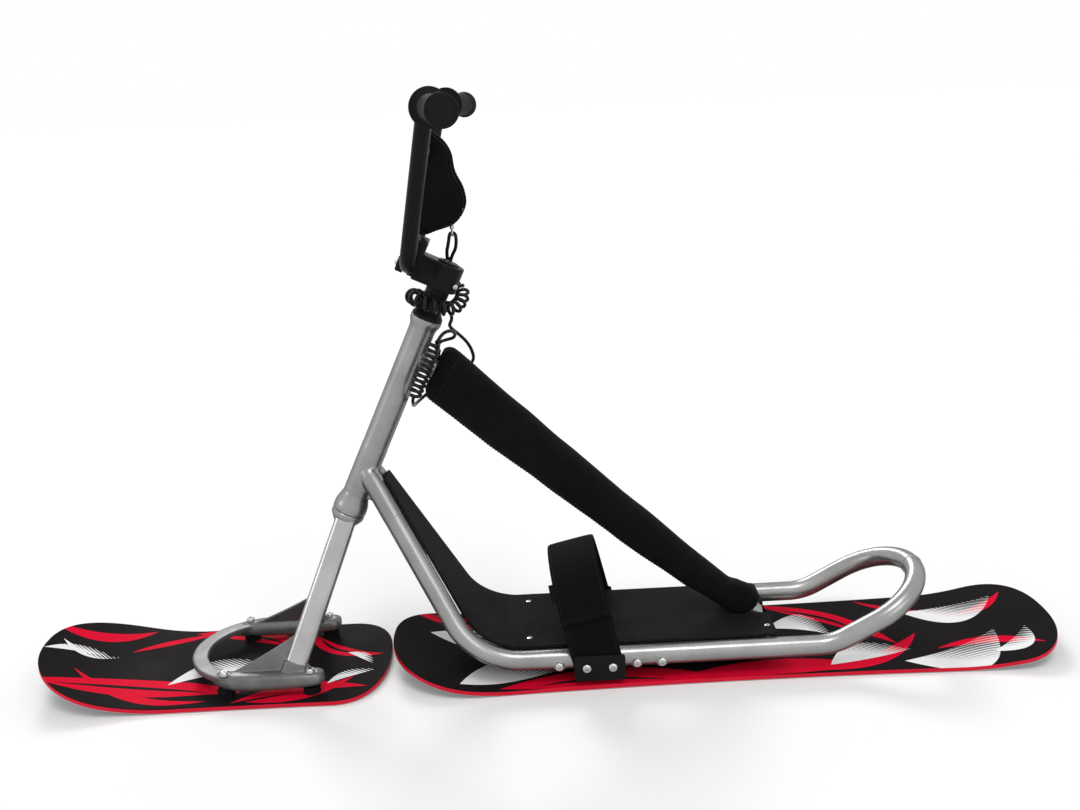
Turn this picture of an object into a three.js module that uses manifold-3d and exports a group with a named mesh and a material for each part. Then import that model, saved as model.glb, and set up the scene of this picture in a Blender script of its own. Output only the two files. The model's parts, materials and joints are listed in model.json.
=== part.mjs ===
import * as THREE from 'three';
import { mergeVertices } from 'three/addons/utils/BufferGeometryUtils.js';
import Module from 'manifold-3d';

// A snow scooter: a bent twin-tube frame on a long rear board, and a steered fork on a short front board.
// Millimetres and degrees. X runs along the boards with the front at -X, -Y is the rider's left, Z = 0 is
// the snow under the flat of both boards, and Y = 0 is the middle plane.

const wasm = await Module();
wasm.setup();

const { degToRad } = THREE.MathUtils;
const point = (x, y, z) => new THREE.Vector3(x, y, z);
const ahead = point(1, 0, 0);
const sideways = point(0, 1, 0);
const upward = point(0, 0, 1);
const leftAndRight = [['left', -1], ['right', 1]];

// Driving dimensions

const fit = {
  gap: 0.3,
  overrun: 6,
  softGap: 0.8,
  weldTolerance: 0.001,
};

const board = {
  thickness: 7,
  halfWidth: 124,
  sidecutRadius: 8000,
  edgeBevel: 2,
  noseRound: 128,
  tailRound: 78,
  tipAngle: 9,
  endSteps: 7,
  waistSteps: 6,
  roundness: 2.4,
  insertDepth: 5,
};

const rearBoard = { nose: -222, tail: 784, noseRise: 38, noseRun: 180, tailRise: 30, tailRun: 175 };
const frontBoard = { nose: -753, tail: -229, noseRise: 56, noseRun: 215, tailRise: 3, tailRun: 60 };

// The steering axis: its foot is the lower end of the head tube
const column = { lean: 25.5, footX: -272.2, footZ: 254.2, sides: 20 };

const steerer = { radius: 14.3 };

const headTube = {
  length: 315,
  clearance: 1.9,
  wall: 3,
  topRise: 3.8,
  topRiseLength: 16,
  footRise: 5.8,
  footRiseLength: 24,
  footShoulderShare: 0.62,
  topShoulderShare: 0.5,
  seatWall: 2.4,
  seatDepth: 8,
};
headTube.bore = steerer.radius + headTube.clearance;
headTube.radius = headTube.bore + headTube.wall;
headTube.topRadius = headTube.radius + headTube.topRise;
headTube.footRadius = headTube.radius + headTube.footRise;

// The twin tubes run from the head tube down, flat along the deck and round the rear loop
const rail = {
  radius: 15,
  sides: 14,
  halfTrack: 93,
  clearance: 18.5,
  headHeight: 73.6,
  headSpread: 11,
  frontCornerX: -92.8,
  frontBend: 112,
  riseX: 432,
  riseBend: 90,
  loopX: 576,
  loopRise: 78,
  seam: 0.2,
  bendSteps: 6,
};
rail.z = board.thickness + rail.clearance + rail.radius;

const topTube = { radius: 14, sides: 16, headDrop: 53, footX: 334, footRise: 14.5, endX: 346 };
topTube.headHeight = headTube.length - topTube.headDrop;
topTube.footZ = rail.z + topTube.footRise;

const bridge = {
  frontX: -8,
  rearX: 334,
  radius: 11,
  sides: 12,
  drop: 1.5,
  plateLength: 76,
  plateThickness: 6,
  plateEdge: 14,
  bossSpread: 62,
  bossRadius: 6,
};

const damper = {
  radius: 19,
  height: 19.4,
  studRadius: 4,
  nutRadius: 7,
  nutHeight: 6,
  spread: 42,
  inset: 38,
  sides: 16,
};

const deck = {
  thickness: 5,
  edgeInset: 5,
  headWiden: 4,
  headRun: 27,
  seamX: -30,
  seamGap: 1,
  rearX: 352,
  notchHalfWidth: 17.5,
  notchX: 294,
  cornerRadius: 8,
  bendSteps: 6,
};
deck.underside = rail.z + rail.radius + fit.gap;
deck.top = deck.underside + deck.thickness;

// Outline of the foam pad round the top tube, along the tube from the steering axis: how far it stands above
// and below the tube's axis, and half its width
const pad = {
  start: 39,
  end: 651,
  slant: 0.193,
  slantRun: 90,
  wall: 0.8,
  sides: 16,
  squareness: 2.6,
  height: 42,
  depth: 44,
  halfWidth: 30,
};
const padShares = [
  { along: 0, over: 0.9, under: 0.86, wide: 0.86 },
  { along: 0.02, over: 1, under: 0.99, wide: 0.99 },
  { along: 0.21, over: 0.84, under: 1, wide: 1 },
  { along: 0.36, over: 0.74, under: 0.95, wide: 0.95 },
  { along: 0.6, over: 0.59, under: 0.9, wide: 0.87 },
  { along: 0.81, over: 0.46, under: 0.78, wide: 0.79 },
  { along: 0.905, over: 0.44, under: 0.64, wide: 0.76 },
  { along: 0.935, over: 0.62, under: 0.6, wide: 0.78 },
  { along: 0.96, over: 0.73, under: 0.57, wide: 0.79 },
  { along: 0.985, over: 0.68, under: 0.54, wide: 0.74 },
  { along: 1, over: 0.52, under: 0.49, wide: 0.62 },
];

const railBolt = {
  positions: [28.4, 67.8, 105.6, 141.7, 178.1],
  drop: 4.9,
  headRadius: 6.8,
  headHeight: 4.6,
  shankRadius: 3.2,
  reach: 12,
  sides: 10,
};

const strapPlate = { length: 74, height: 40, thickness: 2.5, drop: 6, strapped: [1, 2] };

const strap = {
  width: 72,
  thickness: 5,
  corner: 1.6,
  footX: 85,
  lean: 12.7,
  height: 130,
};
// The arch of the strap from foot to crest: shares of its half width and of its height
const archShares = [
  [1, -0.14], [1, 0.12], [0.985, 0.3], [0.94, 0.5], [0.83, 0.7], [0.64, 0.86], [0.38, 0.96], [0, 1],
];

const fork = {
  crownRadius: 24.5,
  crownGap: 0.9,
  crownHeight: 8,
  neckRadius: 12,
  neckLength: 30,
  legLength: 32,
  legWidth: 18,
  legCorner: 5,
  socketShare: 0.98,
  socketEndShare: 0.18,
  socketStepShare: 0.01,
  legSpread: 13,
  legTopDepth: 6,
  footX: -366,
  footSpread: 84,
  footZ: 27,
};

const horseshoe = {
  bandOuter: 101,
  bandWidth: 23.5,
  bandCentreX: -429,
  bandThickness: 9,
  bandDrop: 3,
  bandTail: 30,
  podSpread: 87,
  podHalfWidth: 17.5,
  podHeight: 26,
  podFrontX: -482,
  podRearX: -318,
  podSides: 12,
  podSquareness: 2.8,
  podEndHeightShare: 0.4,
  seatShare: 0.723,
  gussetThickness: 6,
  gussetFrontX: -466,
  gussetTop: 100,
  gussetSagShare: 0.1,
  webRearX: -333,
  webTop: 65,
  webSteps: 5,
  steps: 24,
};
// Along each side rail of the horseshoe: the share of its length, and the share of its width there
const podShares = [
  [0, 0.35], [0.03, 0.62], [0.09, 0.84], [0.2, 0.97], [0.35, 1], [0.8, 1], [0.94, 0.93],
  [0.985, 0.75], [1, 0.5],
];

const frontDamper = {
  radius: 13,
  height: 6.5,
  sides: 14,
  places: [['front', -462.7, 87.5], ['rear', -336, 90.5]],
};
const damperBolt = { shankRadius: 4, headRadius: 6.3, headHeight: 4.6, clearance: 0.3, sides: 10 };

const headset = { coverRadius: 22.6, coverLip: 4, coverHeight: 12, spacerRadius: 17, stack: 45.7 };

const bar = {
  radius: 11.1,
  sides: 14,
  clampForward: 50,
  lowerSpread: 66,
  upperSpread: 133,
  upperRise: 209,
  upperBack: 44.5,
  gripSpan: 167,
  endBack: 30.2,
  endDrop: 3.5,
  lowerBend: 34,
  upperBend: 38,
  bendSteps: 6,
  crossRise: 150,
  crossRadius: 8,
  crossSides: 12,
  socketRadius: 8.6,
  socketDepth: 24,
};
bar.halfWidth = bar.upperSpread + bar.gripSpan;

const grip = {
  bendReach: 43,
  radius: 16.5,
  flangeRadius: 25,
  flangeThickness: 3.5,
  endRadius: 18.5,
  endLength: 8,
  endTaper: 2.4,
  wall: 0.25,
};
grip.length = bar.gripSpan - grip.bendReach;

const barPlug = { radius: 20, thickness: 5, stemLength: 21, rimShare: 0.6, faceShare: 0.9 };

const stem = {
  height: 38,
  clampRise: 21,
  clampRadius: 24,
  halfWidth: 25,
  neckHalfWidth: 19,
  blockHeight: 53,
  blockDropShare: 0.32,
  blockRear: 36,
  faceThickness: 16,
  splitGap: 1.2,
  notch: 5,
  slot: 2,
  sides: 20,
};
stem.base = headTube.length + fit.gap + headset.stack;
stem.top = stem.base + stem.height;
bar.clampHeight = stem.base + stem.clampRise;

const pinchBolt = {
  back: 20,
  rise: 12,
  headRadius: 4.5,
  headHeight: 4,
  shankRadius: 2.6,
  seatShare: 0.42,
  sides: 10,
};

// The round head of a bolt: shares of its radius and of its height
const domeShares = [[1, 0], [0.94, 0.5], [0.6, 0.9], [0, 1]];

// The padded wrist cuff of the leash, folded over the crossbar
const cuff = {
  centreY: 20,
  width: 56,
  depth: 66,
  height: 138,
  rise: 25,
  forward: 19,
  wall: 0.8,
  steps: 26,
  bevel: 5,
};
// Its outline seen from the side, in shares of depth and height
const cuffOutlineShares = [
  [0.12, 0.97], [0.32, 1], [0.62, 0.89], [0.76, 0.77], [0.81, 0.59], [0.97, 0.42], [1, 0.26], [0.78, 0.1],
  [0.38, 0.03], [0.1, 0], [0, 0.12], [0.02, 0.5], [0, 0.8],
];

const cord = {
  radius: 2.5,
  sides: 5,
  coilRadius: 8.5,
  stepsPerCurl: 8,
  plainStep: 7,
  leadShare: 0.25,
  neighbourReach: 15,
};

// The swivel's eye hangs behind the crossbar's middle and below it
const swivel = {
  radius: 3.2,
  height: 12,
  eyeRadius: 4.7,
  wireRadius: 1.3,
  behind: 27.15,
  drop: 116,
  sides: 10,
};
const crimp = { halfWidth: 5.2, halfDepth: 3.6, clearance: 1.4 };
const anchor = { radius: 3.8, length: 20 };

// Paints

const paint = {
  satinAlloy: new THREE.MeshStandardMaterial({ color: '#a8a9ab', roughness: 0.36, metalness: 1 }),
  castAlloy: new THREE.MeshStandardMaterial({ color: '#8e9090', roughness: 0.48, metalness: 1 }),
  blackAlloy: new THREE.MeshStandardMaterial({ color: '#1a1a1c', roughness: 0.42, metalness: 0.6 }),
  brightSteel: new THREE.MeshStandardMaterial({ color: '#c9cacc', roughness: 0.25, metalness: 1 }),
  bearingSteel: new THREE.MeshStandardMaterial({ color: '#7d7f82', roughness: 0.3, metalness: 1 }),
  rubber: new THREE.MeshStandardMaterial({ color: '#161617', roughness: 0.8, metalness: 0 }),
  gripTape: new THREE.MeshStandardMaterial({ color: '#18191b', roughness: 0.95, metalness: 0 }),
  foam: new THREE.MeshStandardMaterial({ color: '#141516', roughness: 0.92, metalness: 0 }),
  webbing: new THREE.MeshStandardMaterial({ color: '#121315', roughness: 0.9, metalness: 0 }),
  boardTop: new THREE.MeshStandardMaterial({ color: '#1c1a1a', roughness: 0.35, metalness: 0 }),
  cordSheath: new THREE.MeshStandardMaterial({ color: '#101011', roughness: 0.45, metalness: 0 }),
};

// Tools for closed meshes

// Turns the faces of a closed mesh outward when its volume comes out negative
function outward(geometry) {
  const place = geometry.attributes.position;
  const index = geometry.index.array;
  const corner = [point(0, 0, 0), point(0, 0, 0), point(0, 0, 0)];
  let volume = 0;
  for (let i = 0; i < index.length; i += 3) {
    corner.forEach((vertex, k) => vertex.fromBufferAttribute(place, index[i + k]));
    volume += corner[0].dot(corner[1].clone().cross(corner[2]));
  }
  if (volume < 0) {
    for (let i = 0; i < index.length; i += 3) {
      [index[i + 1], index[i + 2]] = [index[i + 2], index[i + 1]];
    }
  }
  return geometry;
}

function merged(geometry) {
  const bare = geometry.clone();
  bare.deleteAttribute('normal');
  bare.deleteAttribute('uv');
  return outward(mergeVertices(bare, fit.weldTolerance));
}

function solid(geometry) {
  const closed = merged(geometry);
  const mesh = new wasm.Mesh({
    numProp: 3,
    vertProperties: new Float32Array(closed.attributes.position.array),
    triVerts: new Uint32Array(closed.index.array),
  });
  return new wasm.Manifold(mesh);
}

function geometryOf(manifold) {
  const mesh = manifold.getMesh();
  const geometry = new THREE.BufferGeometry();
  geometry.setAttribute('position', new THREE.BufferAttribute(mesh.vertProperties, 3));
  geometry.setIndex(new THREE.BufferAttribute(mesh.triVerts, 1));
  return geometry;
}

function cut(body, ...tools) {
  return tools.reduce((left, tool) => left.subtract(solid(tool)), body);
}

function join(...parts) {
  return parts.slice(1).reduce((whole, part) => whole.add(solid(part)), solid(parts[0]));
}

// Joins rings of equal count into one closed skin, with a fan over the first ring and the last
function loft(rings) {
  const count = rings[0].length;
  const middle = (ring) => ring.reduce((sum, corner) => sum.add(corner), point(0, 0, 0)).divideScalar(count);
  const vertices = [...rings.flat(), middle(rings[0]), middle(rings[rings.length - 1])];
  const firstMiddle = vertices.length - 2;
  const lastMiddle = vertices.length - 1;
  const lastRing = (rings.length - 1) * count;
  const index = [];
  for (let i = 0; i < count; i += 1) {
    const j = (i + 1) % count;
    for (let r = 0; r < rings.length - 1; r += 1) {
      const near = r * count;
      const far = near + count;
      index.push(near + i, near + j, far + j, near + i, far + j, far + i);
    }
    index.push(firstMiddle, j, i, lastMiddle, lastRing + i, lastRing + j);
  }
  const geometry = new THREE.BufferGeometry();
  const flat = vertices.flatMap((vertex) => vertex.toArray());
  geometry.setAttribute('position', new THREE.BufferAttribute(new Float32Array(flat), 3));
  geometry.setIndex(index);
  return outward(geometry);
}

// Carries a profile along a line of points, its first axis held near the given direction
function sweep(line, profileAt, hold) {
  const last = line.length - 1;
  const rings = line.map((place, i) => {
    const back = line[Math.max(i - 1, 0)];
    const forth = line[Math.min(i + 1, last)];
    const into = place.clone().sub(back).normalize();
    const out = forth.clone().sub(place).normalize();
    const tangent = into.add(out).normalize();
    const across = hold.clone().addScaledVector(tangent, -hold.dot(tangent)).normalize();
    const over = tangent.clone().cross(across);
    return profileAt(i / last, i).map(([a, b]) => (
      place.clone().addScaledVector(across, a).addScaledVector(over, b)
    ));
  });
  return loft(rings);
}

function circle(radius, sides) {
  return Array.from({ length: sides }, (_, i) => {
    const turn = (2 * Math.PI * i) / sides;
    return [radius * Math.cos(turn), radius * Math.sin(turn)];
  });
}

// An oval with flattened sides, half sizes a and b
function squaredOval(a, b, sides, squareness) {
  return circle(1, sides).map(([c, s]) => [
    a * Math.sign(c) * Math.abs(c) ** (2 / squareness),
    b * Math.sign(s) * Math.abs(s) ** (2 / squareness),
  ]);
}

// A rectangle with cut corners, centred
function cutCornerBox(width, height, corner) {
  const w = width / 2;
  const h = height / 2;
  return [
    [w - corner, -h], [w, corner - h], [w, h - corner], [w - corner, h],
    [corner - w, h], [-w, h - corner], [-w, corner - h], [corner - w, -h],
  ];
}

// Straight runs joined by round bends: one radius for each inner corner
function bentLine(corners, radii, steps) {
  const line = [corners[0].clone()];
  radii.forEach((radius, i) => {
    const corner = corners[i + 1];
    const back = corners[i].clone().sub(corner).normalize();
    const forth = corners[i + 2].clone().sub(corner).normalize();
    const half = back.angleTo(forth) / 2;
    const reach = radius / Math.tan(half);
    const inward = back.clone().add(forth).normalize();
    const centre = corner.clone().addScaledVector(inward, radius / Math.sin(half));
    const from = corner.clone().addScaledVector(back, reach).sub(centre);
    const to = corner.clone().addScaledVector(forth, reach).sub(centre);
    const turn = from.angleTo(to);
    for (let k = 0; k <= steps; k += 1) {
      const share = k / steps;
      const spot = centre.clone();
      spot.addScaledVector(from, Math.sin((1 - share) * turn) / Math.sin(turn));
      spot.addScaledVector(to, Math.sin(share * turn) / Math.sin(turn));
      line.push(spot);
    }
  });
  line.push(corners[corners.length - 1].clone());
  return line;
}

// A round bar between two points
function rod(from, to, radius, sides) {
  const length = from.distanceTo(to);
  const geometry = new THREE.CylinderGeometry(radius, radius, length, sides);
  geometry.translate(0, length / 2, 0);
  const turn = new THREE.Quaternion().setFromUnitVectors(sideways, to.clone().sub(from).normalize());
  geometry.applyQuaternion(turn);
  geometry.translate(from.x, from.y, from.z);
  return geometry;
}

// A box given by its lowest and highest corners
function block(low, high) {
  const size = high.clone().sub(low);
  const geometry = new THREE.BoxGeometry(size.x, size.y, size.z);
  const middle = low.clone().add(high).divideScalar(2);
  geometry.translate(middle.x, middle.y, middle.z);
  return geometry;
}

// A turned piece with its axis along Z: the profile is a list of radius and height
function turned(profile, sides) {
  const outline = profile.map(([radius, height]) => new THREE.Vector2(radius, height));
  const geometry = new THREE.LatheGeometry(outline, sides);
  geometry.rotateX(Math.PI / 2);
  return geometry;
}

function ringProfile(inner, outer, low, high) {
  return [[inner, low], [outer, low], [outer, high], [inner, high], [inner, low]];
}

// The object and its sub-groups

const group = new THREE.Group();
group.name = 'snow_scooter';

const columnGroup = new THREE.Group();
columnGroup.position.set(column.footX, 0, column.footZ);
columnGroup.rotation.y = degToRad(column.lean);
columnGroup.updateMatrix();
group.add(columnGroup);

// A place on the steering column: back from its axis, to the right, and up along it
const onColumn = (back, right, height) => point(back, right, height).applyMatrix4(columnGroup.matrix);

function addMesh(parent, name, shape, material) {
  const geometry = shape.isBufferGeometry ? merged(shape) : geometryOf(shape);
  geometry.computeVertexNormals();
  const mesh = new THREE.Mesh(geometry, material);
  mesh.name = name;
  parent.add(mesh);
  return mesh;
}

const columnRod = (radius) => rod(
  onColumn(0, 0, -fit.overrun),
  onColumn(0, 0, headTube.length + fit.overrun),
  radius,
  column.sides,
);

// Boards

function boardRings({ nose, tail, noseRise, noseRun, tailRise, tailRun }) {
  const start = degToRad(board.tipAngle);
  const endSpots = (run) => Array.from({ length: board.endSteps + 1 }, (_, k) => {
    const turn = start + ((Math.PI / 2 - start) * k) / board.endSteps;
    const inset = run * (1 - Math.cos(turn) ** (2 / board.roundness));
    return [inset, board.halfWidth * Math.sin(turn) ** (2 / board.roundness)];
  });
  const widestNose = nose + board.noseRound;
  const widestTail = tail - board.tailRound;
  const flatStart = Math.max(nose + noseRun, widestNose + fit.overrun);
  const flatEnd = Math.min(tail - tailRun, widestTail - fit.overrun);
  const flat = Array.from(
    { length: board.waistSteps + 1 },
    (_, k) => flatStart + ((flatEnd - flatStart) * k) / board.waistSteps,
  );
  const waist = (x) => board.halfWidth - ((x - widestNose) * (widestTail - x)) / (2 * board.sidecutRadius);
  const stations = [
    ...endSpots(board.noseRound).map(([inset, half]) => [nose + inset, half]),
    ...[(widestNose + flatStart) / 2, ...flat, (flatEnd + widestTail) / 2].map((x) => [x, waist(x)]),
    ...endSpots(board.tailRound).reverse().map(([inset, half]) => [tail - inset, half]),
  ];
  const lift = (x) => {
    const noseShare = Math.max(0, (nose + noseRun - x) / noseRun);
    const tailShare = Math.max(0, (x - tail + tailRun) / tailRun);
    return noseRise * noseShare ** 2 + tailRise * tailShare ** 2;
  };
  const bevel = board.edgeBevel;
  return stations.map(([x, half]) => [
    [bevel - half, 0], [half - bevel, 0], [half, bevel], [half, board.thickness - bevel / 2],
    [half - bevel / 2, board.thickness], [bevel / 2 - half, board.thickness],
    [-half, board.thickness - bevel / 2], [-half, bevel],
  ].map(([y, z]) => point(x, y, z + lift(x))));
}

function buildBoard(name, sizes, fasteners, holeRadius) {
  const holes = fasteners.map(([x, y]) => rod(
    point(x, y, board.thickness - board.insertDepth),
    point(x, y, board.thickness + fit.overrun),
    holeRadius,
    damperBolt.sides,
  ));
  addMesh(group, name, cut(solid(loft(boardRings(sizes))), ...holes), paint.boardTop);
}

// Frame

function railLine(side) {
  const head = onColumn(0, 0, rail.headHeight);
  head.y = side * rail.headSpread;
  const y = side * rail.halfTrack;
  const corners = [
    head,
    point(rail.frontCornerX, y, rail.z),
    point(rail.riseX, y, rail.z),
    point(rail.loopX, y, rail.z + rail.loopRise),
    point(rail.loopX, 0, rail.z + rail.loopRise),
  ];
  return bentLine(corners, [rail.frontBend, rail.riseBend, rail.halfTrack], rail.bendSteps);
}

const railRods = (radius) => leftAndRight.map(([, side]) => rod(
  point(rail.frontCornerX, side * rail.halfTrack, rail.z),
  point(rail.riseX, side * rail.halfTrack, rail.z),
  radius,
  rail.sides,
));

function railBoltRod(side, x, radius, extra) {
  const outer = side * (rail.halfTrack + rail.radius);
  return rod(
    point(x, outer - side * railBolt.reach, rail.z - railBolt.drop),
    point(x, outer + side * extra, rail.z - railBolt.drop),
    radius,
    railBolt.sides,
  );
}

function buildFrameTubes() {
  const side = 1;
  const span = rail.halfTrack + rail.radius + fit.overrun;
  const tube = solid(sweep(railLine(side), () => circle(rail.radius, rail.sides), upward));
  const otherHalf = block(
    point(column.footX - span, -side * span, 0),
    point(rail.loopX + span, 0, column.footZ + headTube.length),
  );
  otherHalf.translate(0, side * rail.seam, 0);
  const boltHole = railBolt.shankRadius + fit.gap;
  const holes = railBolt.positions.map((x) => railBoltRod(side, x, boltHole, fit.overrun));
  const right = geometryOf(cut(tube, otherHalf, columnRod(headTube.radius + fit.gap), ...holes));
  const left = right.clone().scale(1, -1, 1);
  addMesh(group, 'right_frame_tube', right, paint.satinAlloy);
  addMesh(group, 'left_frame_tube', left, paint.satinAlloy);
}

function buildHeadTube() {
  const { length, bore, radius, topRadius, footRadius, seatDepth, seatWall } = headTube;
  const profile = [
    [bore, seatDepth],
    [footRadius - seatWall, seatDepth],
    [footRadius - seatWall, 0],
    [footRadius, 0],
    [footRadius, headTube.footRiseLength * headTube.footShoulderShare],
    [radius, headTube.footRiseLength],
    [radius, length - headTube.topRiseLength],
    [topRadius, length - headTube.topRiseLength * headTube.topShoulderShare],
    [topRadius, length],
    [topRadius - seatWall, length],
    [topRadius - seatWall, length - seatDepth],
    [bore, length - seatDepth],
    [bore, seatDepth],
  ];
  addMesh(columnGroup, 'head_tube', turned(profile, column.sides), paint.satinAlloy);
}

function buildBearings() {
  const inner = steerer.radius + fit.gap;
  const race = headTube.seatDepth - fit.gap;
  const footSeat = headTube.footRadius - headTube.seatWall - fit.gap;
  const lower = turned(ringProfile(inner, footSeat, 0, race), column.sides);
  addMesh(columnGroup, 'lower_bearing', lower, paint.bearingSteel);
  const top = headTube.length;
  const topSeat = headTube.topRadius - headTube.seatWall - fit.gap;
  const upper = turned(ringProfile(inner, topSeat, top - race, top), column.sides);
  addMesh(columnGroup, 'upper_bearing', upper, paint.bearingSteel);
}

const topTubeStart = () => onColumn(0, 0, topTube.headHeight);
const topTubeFoot = () => point(topTube.footX, 0, topTube.footZ);
const topTubeAxis = () => topTubeFoot().sub(topTubeStart()).normalize();
const topTubeOver = () => topTubeAxis().cross(sideways).negate();

// The lower surface of the deck, the rails and the bridges bound the lower end of the top tube
function buildTopTube() {
  const reach = topTube.footX - topTubeStart().x;
  const start = topTubeStart();
  const end = start.clone().addScaledVector(topTubeAxis(), reach * 2);
  const body = solid(rod(start, end, topTube.radius, topTube.sides));
  const size = topTube.radius + fit.overrun;
  const beyond = block(point(topTube.endX, -size, -reach * 2), point(start.x + reach * 3, size, reach));
  const below = block(point(start.x, -size, -reach * 2), point(start.x + reach * 3, size, bridgeZ()));
  const headTubeSpace = columnRod(headTube.radius + fit.gap);
  const shape = cut(body, beyond, below, headTubeSpace, bridgeRod(bridge.rearX, fit.gap));
  addMesh(group, 'top_tube', shape, paint.satinAlloy);
}

const bridgeZ = () => rail.z - bridge.drop;

const bridgeRod = (x, extra) => rod(
  point(x, -rail.halfTrack, bridgeZ()),
  point(x, rail.halfTrack, bridgeZ()),
  bridge.radius + extra,
  bridge.sides,
);

// Each bridge carries a flat plate on one side of its cross tube, with two dampers under it
function bridgePlate(x, direction) {
  const low = board.thickness + damper.height + 2 * fit.gap;
  const from = x - direction * bridge.plateEdge;
  const to = from + direction * bridge.plateLength;
  return block(
    point(Math.min(from, to), -rail.halfTrack, low),
    point(Math.max(from, to), rail.halfTrack, low + bridge.plateThickness),
  );
}

const rearDamperSpots = () => [[bridge.frontX, 1, 'front'], [bridge.rearX, -1, 'rear']].flatMap(
  ([x, direction, end]) => leftAndRight.map(([hand, side]) => ({
    name: `rear_board_damper_${end}_${hand}`,
    x: x + direction * damper.inset,
    y: side * damper.spread,
  })),
);

function buildBridges() {
  [['front_bridge', bridge.frontX, 1], ['rear_bridge', bridge.rearX, -1]].forEach(([name, x, direction]) => {
    const bosses = leftAndRight.map(([, side]) => rod(
      point(x, side * bridge.bossSpread, bridgeZ()),
      point(x, side * bridge.bossSpread, deck.underside - fit.gap),
      bridge.bossRadius,
      bridge.sides,
    ));
    const whole = join(bridgeRod(x, 0), bridgePlate(x, direction), ...bosses);
    const holes = rearDamperSpots().map((spot) => rod(
      point(spot.x, spot.y, board.thickness),
      point(spot.x, spot.y, rail.z + rail.radius),
      damper.studRadius + fit.gap,
      damper.sides,
    ));
    addMesh(group, name, cut(whole, ...railRods(rail.radius + fit.gap), ...holes), paint.satinAlloy);
  });
}

function buildRearDampers() {
  const low = board.thickness + fit.gap;
  const high = low + damper.height;
  const plateTop = high + bridge.plateThickness + 2 * fit.gap;
  const profile = [
    [0, board.thickness - board.insertDepth + fit.gap],
    [damper.studRadius, board.thickness - board.insertDepth + fit.gap],
    [damper.studRadius, low],
    [damper.radius, low],
    [damper.radius, high],
    [damper.studRadius, high],
    [damper.studRadius, plateTop],
    [damper.nutRadius, plateTop],
    [damper.nutRadius, plateTop + damper.nutHeight],
    [0, plateTop + damper.nutHeight],
  ];
  rearDamperSpots().forEach(({ name, x, y }) => {
    const mesh = addMesh(group, name, turned(profile, damper.sides), paint.rubber);
    mesh.position.set(x, y, 0);
  });
}

// Deck panels

function buildFrontPanel() {
  const line = railLine(1);
  const start = line[0].clone();
  const heading = line[1].clone().sub(start).normalize();
  const bend = line.slice(1, rail.bendSteps + 2);
  const beyond = point(bend[bend.length - 1].x + fit.overrun, rail.halfTrack, rail.z);
  const places = [start.addScaledVector(heading, deck.headRun), ...bend, beyond];
  const middle = places.map((place) => point(place.x, 0, place.z));
  const halves = places.map((place, i) => {
    const share = i === 0 ? 0 : 1;
    return place.y + (1 - share) * deck.headWiden - share * deck.edgeInset;
  });
  const low = rail.radius + fit.gap;
  const high = low + deck.thickness;
  const section = (half) => [[-half, low], [half, low], [half, high], [-half, high]];
  const panel = sweep(middle, (_, i) => section(halves[i]), sideways);
  const pastSeam = block(
    point(deck.seamX - deck.seamGap / 2, -rail.halfTrack, 0),
    point(deck.rearX, rail.halfTrack, column.footZ),
  );
  addMesh(group, 'deck_front_panel', cut(solid(panel), pastSeam), paint.gripTape);
}

function buildRearPanel() {
  const half = rail.halfTrack - deck.edgeInset;
  const front = deck.seamX + deck.seamGap / 2;
  const { rearX, cornerRadius, notchX, notchHalfWidth } = deck;
  const shape = new THREE.Shape();
  shape.moveTo(front, -half);
  shape.lineTo(rearX - cornerRadius, -half);
  shape.quadraticCurveTo(rearX, -half, rearX, cornerRadius - half);
  shape.lineTo(rearX, -notchHalfWidth);
  shape.lineTo(notchX + notchHalfWidth, -notchHalfWidth);
  shape.absarc(notchX + notchHalfWidth, 0, notchHalfWidth, -Math.PI / 2, Math.PI / 2, true);
  shape.lineTo(rearX, notchHalfWidth);
  shape.lineTo(rearX, half - cornerRadius);
  shape.quadraticCurveTo(rearX, half, rearX - cornerRadius, half);
  shape.lineTo(front, half);
  const options = { depth: deck.thickness, bevelEnabled: false, curveSegments: deck.bendSteps };
  const panel = new THREE.ExtrudeGeometry(shape, options);
  panel.translate(0, 0, deck.underside);
  addMesh(group, 'deck_rear_panel', panel, paint.gripTape);
}

// Foam pad on the top tube

function buildPad() {
  const start = topTubeStart();
  const axis = topTubeAxis();
  const over = topTubeOver();
  const rings = padShares.map((share) => {
    const along = pad.start + (pad.end - pad.start) * share.along;
    const slantLeft = Math.max(0, 1 - (along - pad.start) / pad.slantRun);
    const above = pad.height * share.over;
    const below = pad.depth * share.under;
    return squaredOval(pad.halfWidth * share.wide, 1, pad.sides, pad.squareness).map(([y, high]) => {
      const rise = high > 0 ? high * above : high * below;
      return start.clone()
        .addScaledVector(axis, along - rise * pad.slant * slantLeft)
        .addScaledVector(over, rise)
        .addScaledVector(sideways, y);
    });
  });
  const far = start.clone().addScaledVector(axis, pad.end * 2);
  const bore = rod(start, far, topTube.radius + pad.wall, topTube.sides);
  const reach = pad.end + fit.overrun;
  const deckSpace = block(
    point(start.x, -reach, -reach),
    point(start.x + pad.end * 2, reach, deck.top + fit.softGap),
  );
  addMesh(group, 'top_tube_pad', cut(solid(loft(rings)), bore, deckSpace), paint.foam);
}

// Foot strap, its plates and the bolts along the rails

const outerSide = () => rail.halfTrack + rail.radius;

// The arch from one foot over the crest: half widths at the near and far foot, and the crest's height
function archLine(fromSide, fromHalf, toHalf, height, endIndex) {
  const rise = archShares.map(([out, up]) => point(0, fromSide * fromHalf * out, height * up));
  const fall = archShares.slice(endIndex, -1).reverse()
    .map(([out, up]) => point(0, -fromSide * toHalf * out, height * up));
  return new THREE.CatmullRomCurve3([...rise, ...fall]).getPoints((rise.length + fall.length) * 2);
}

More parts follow.
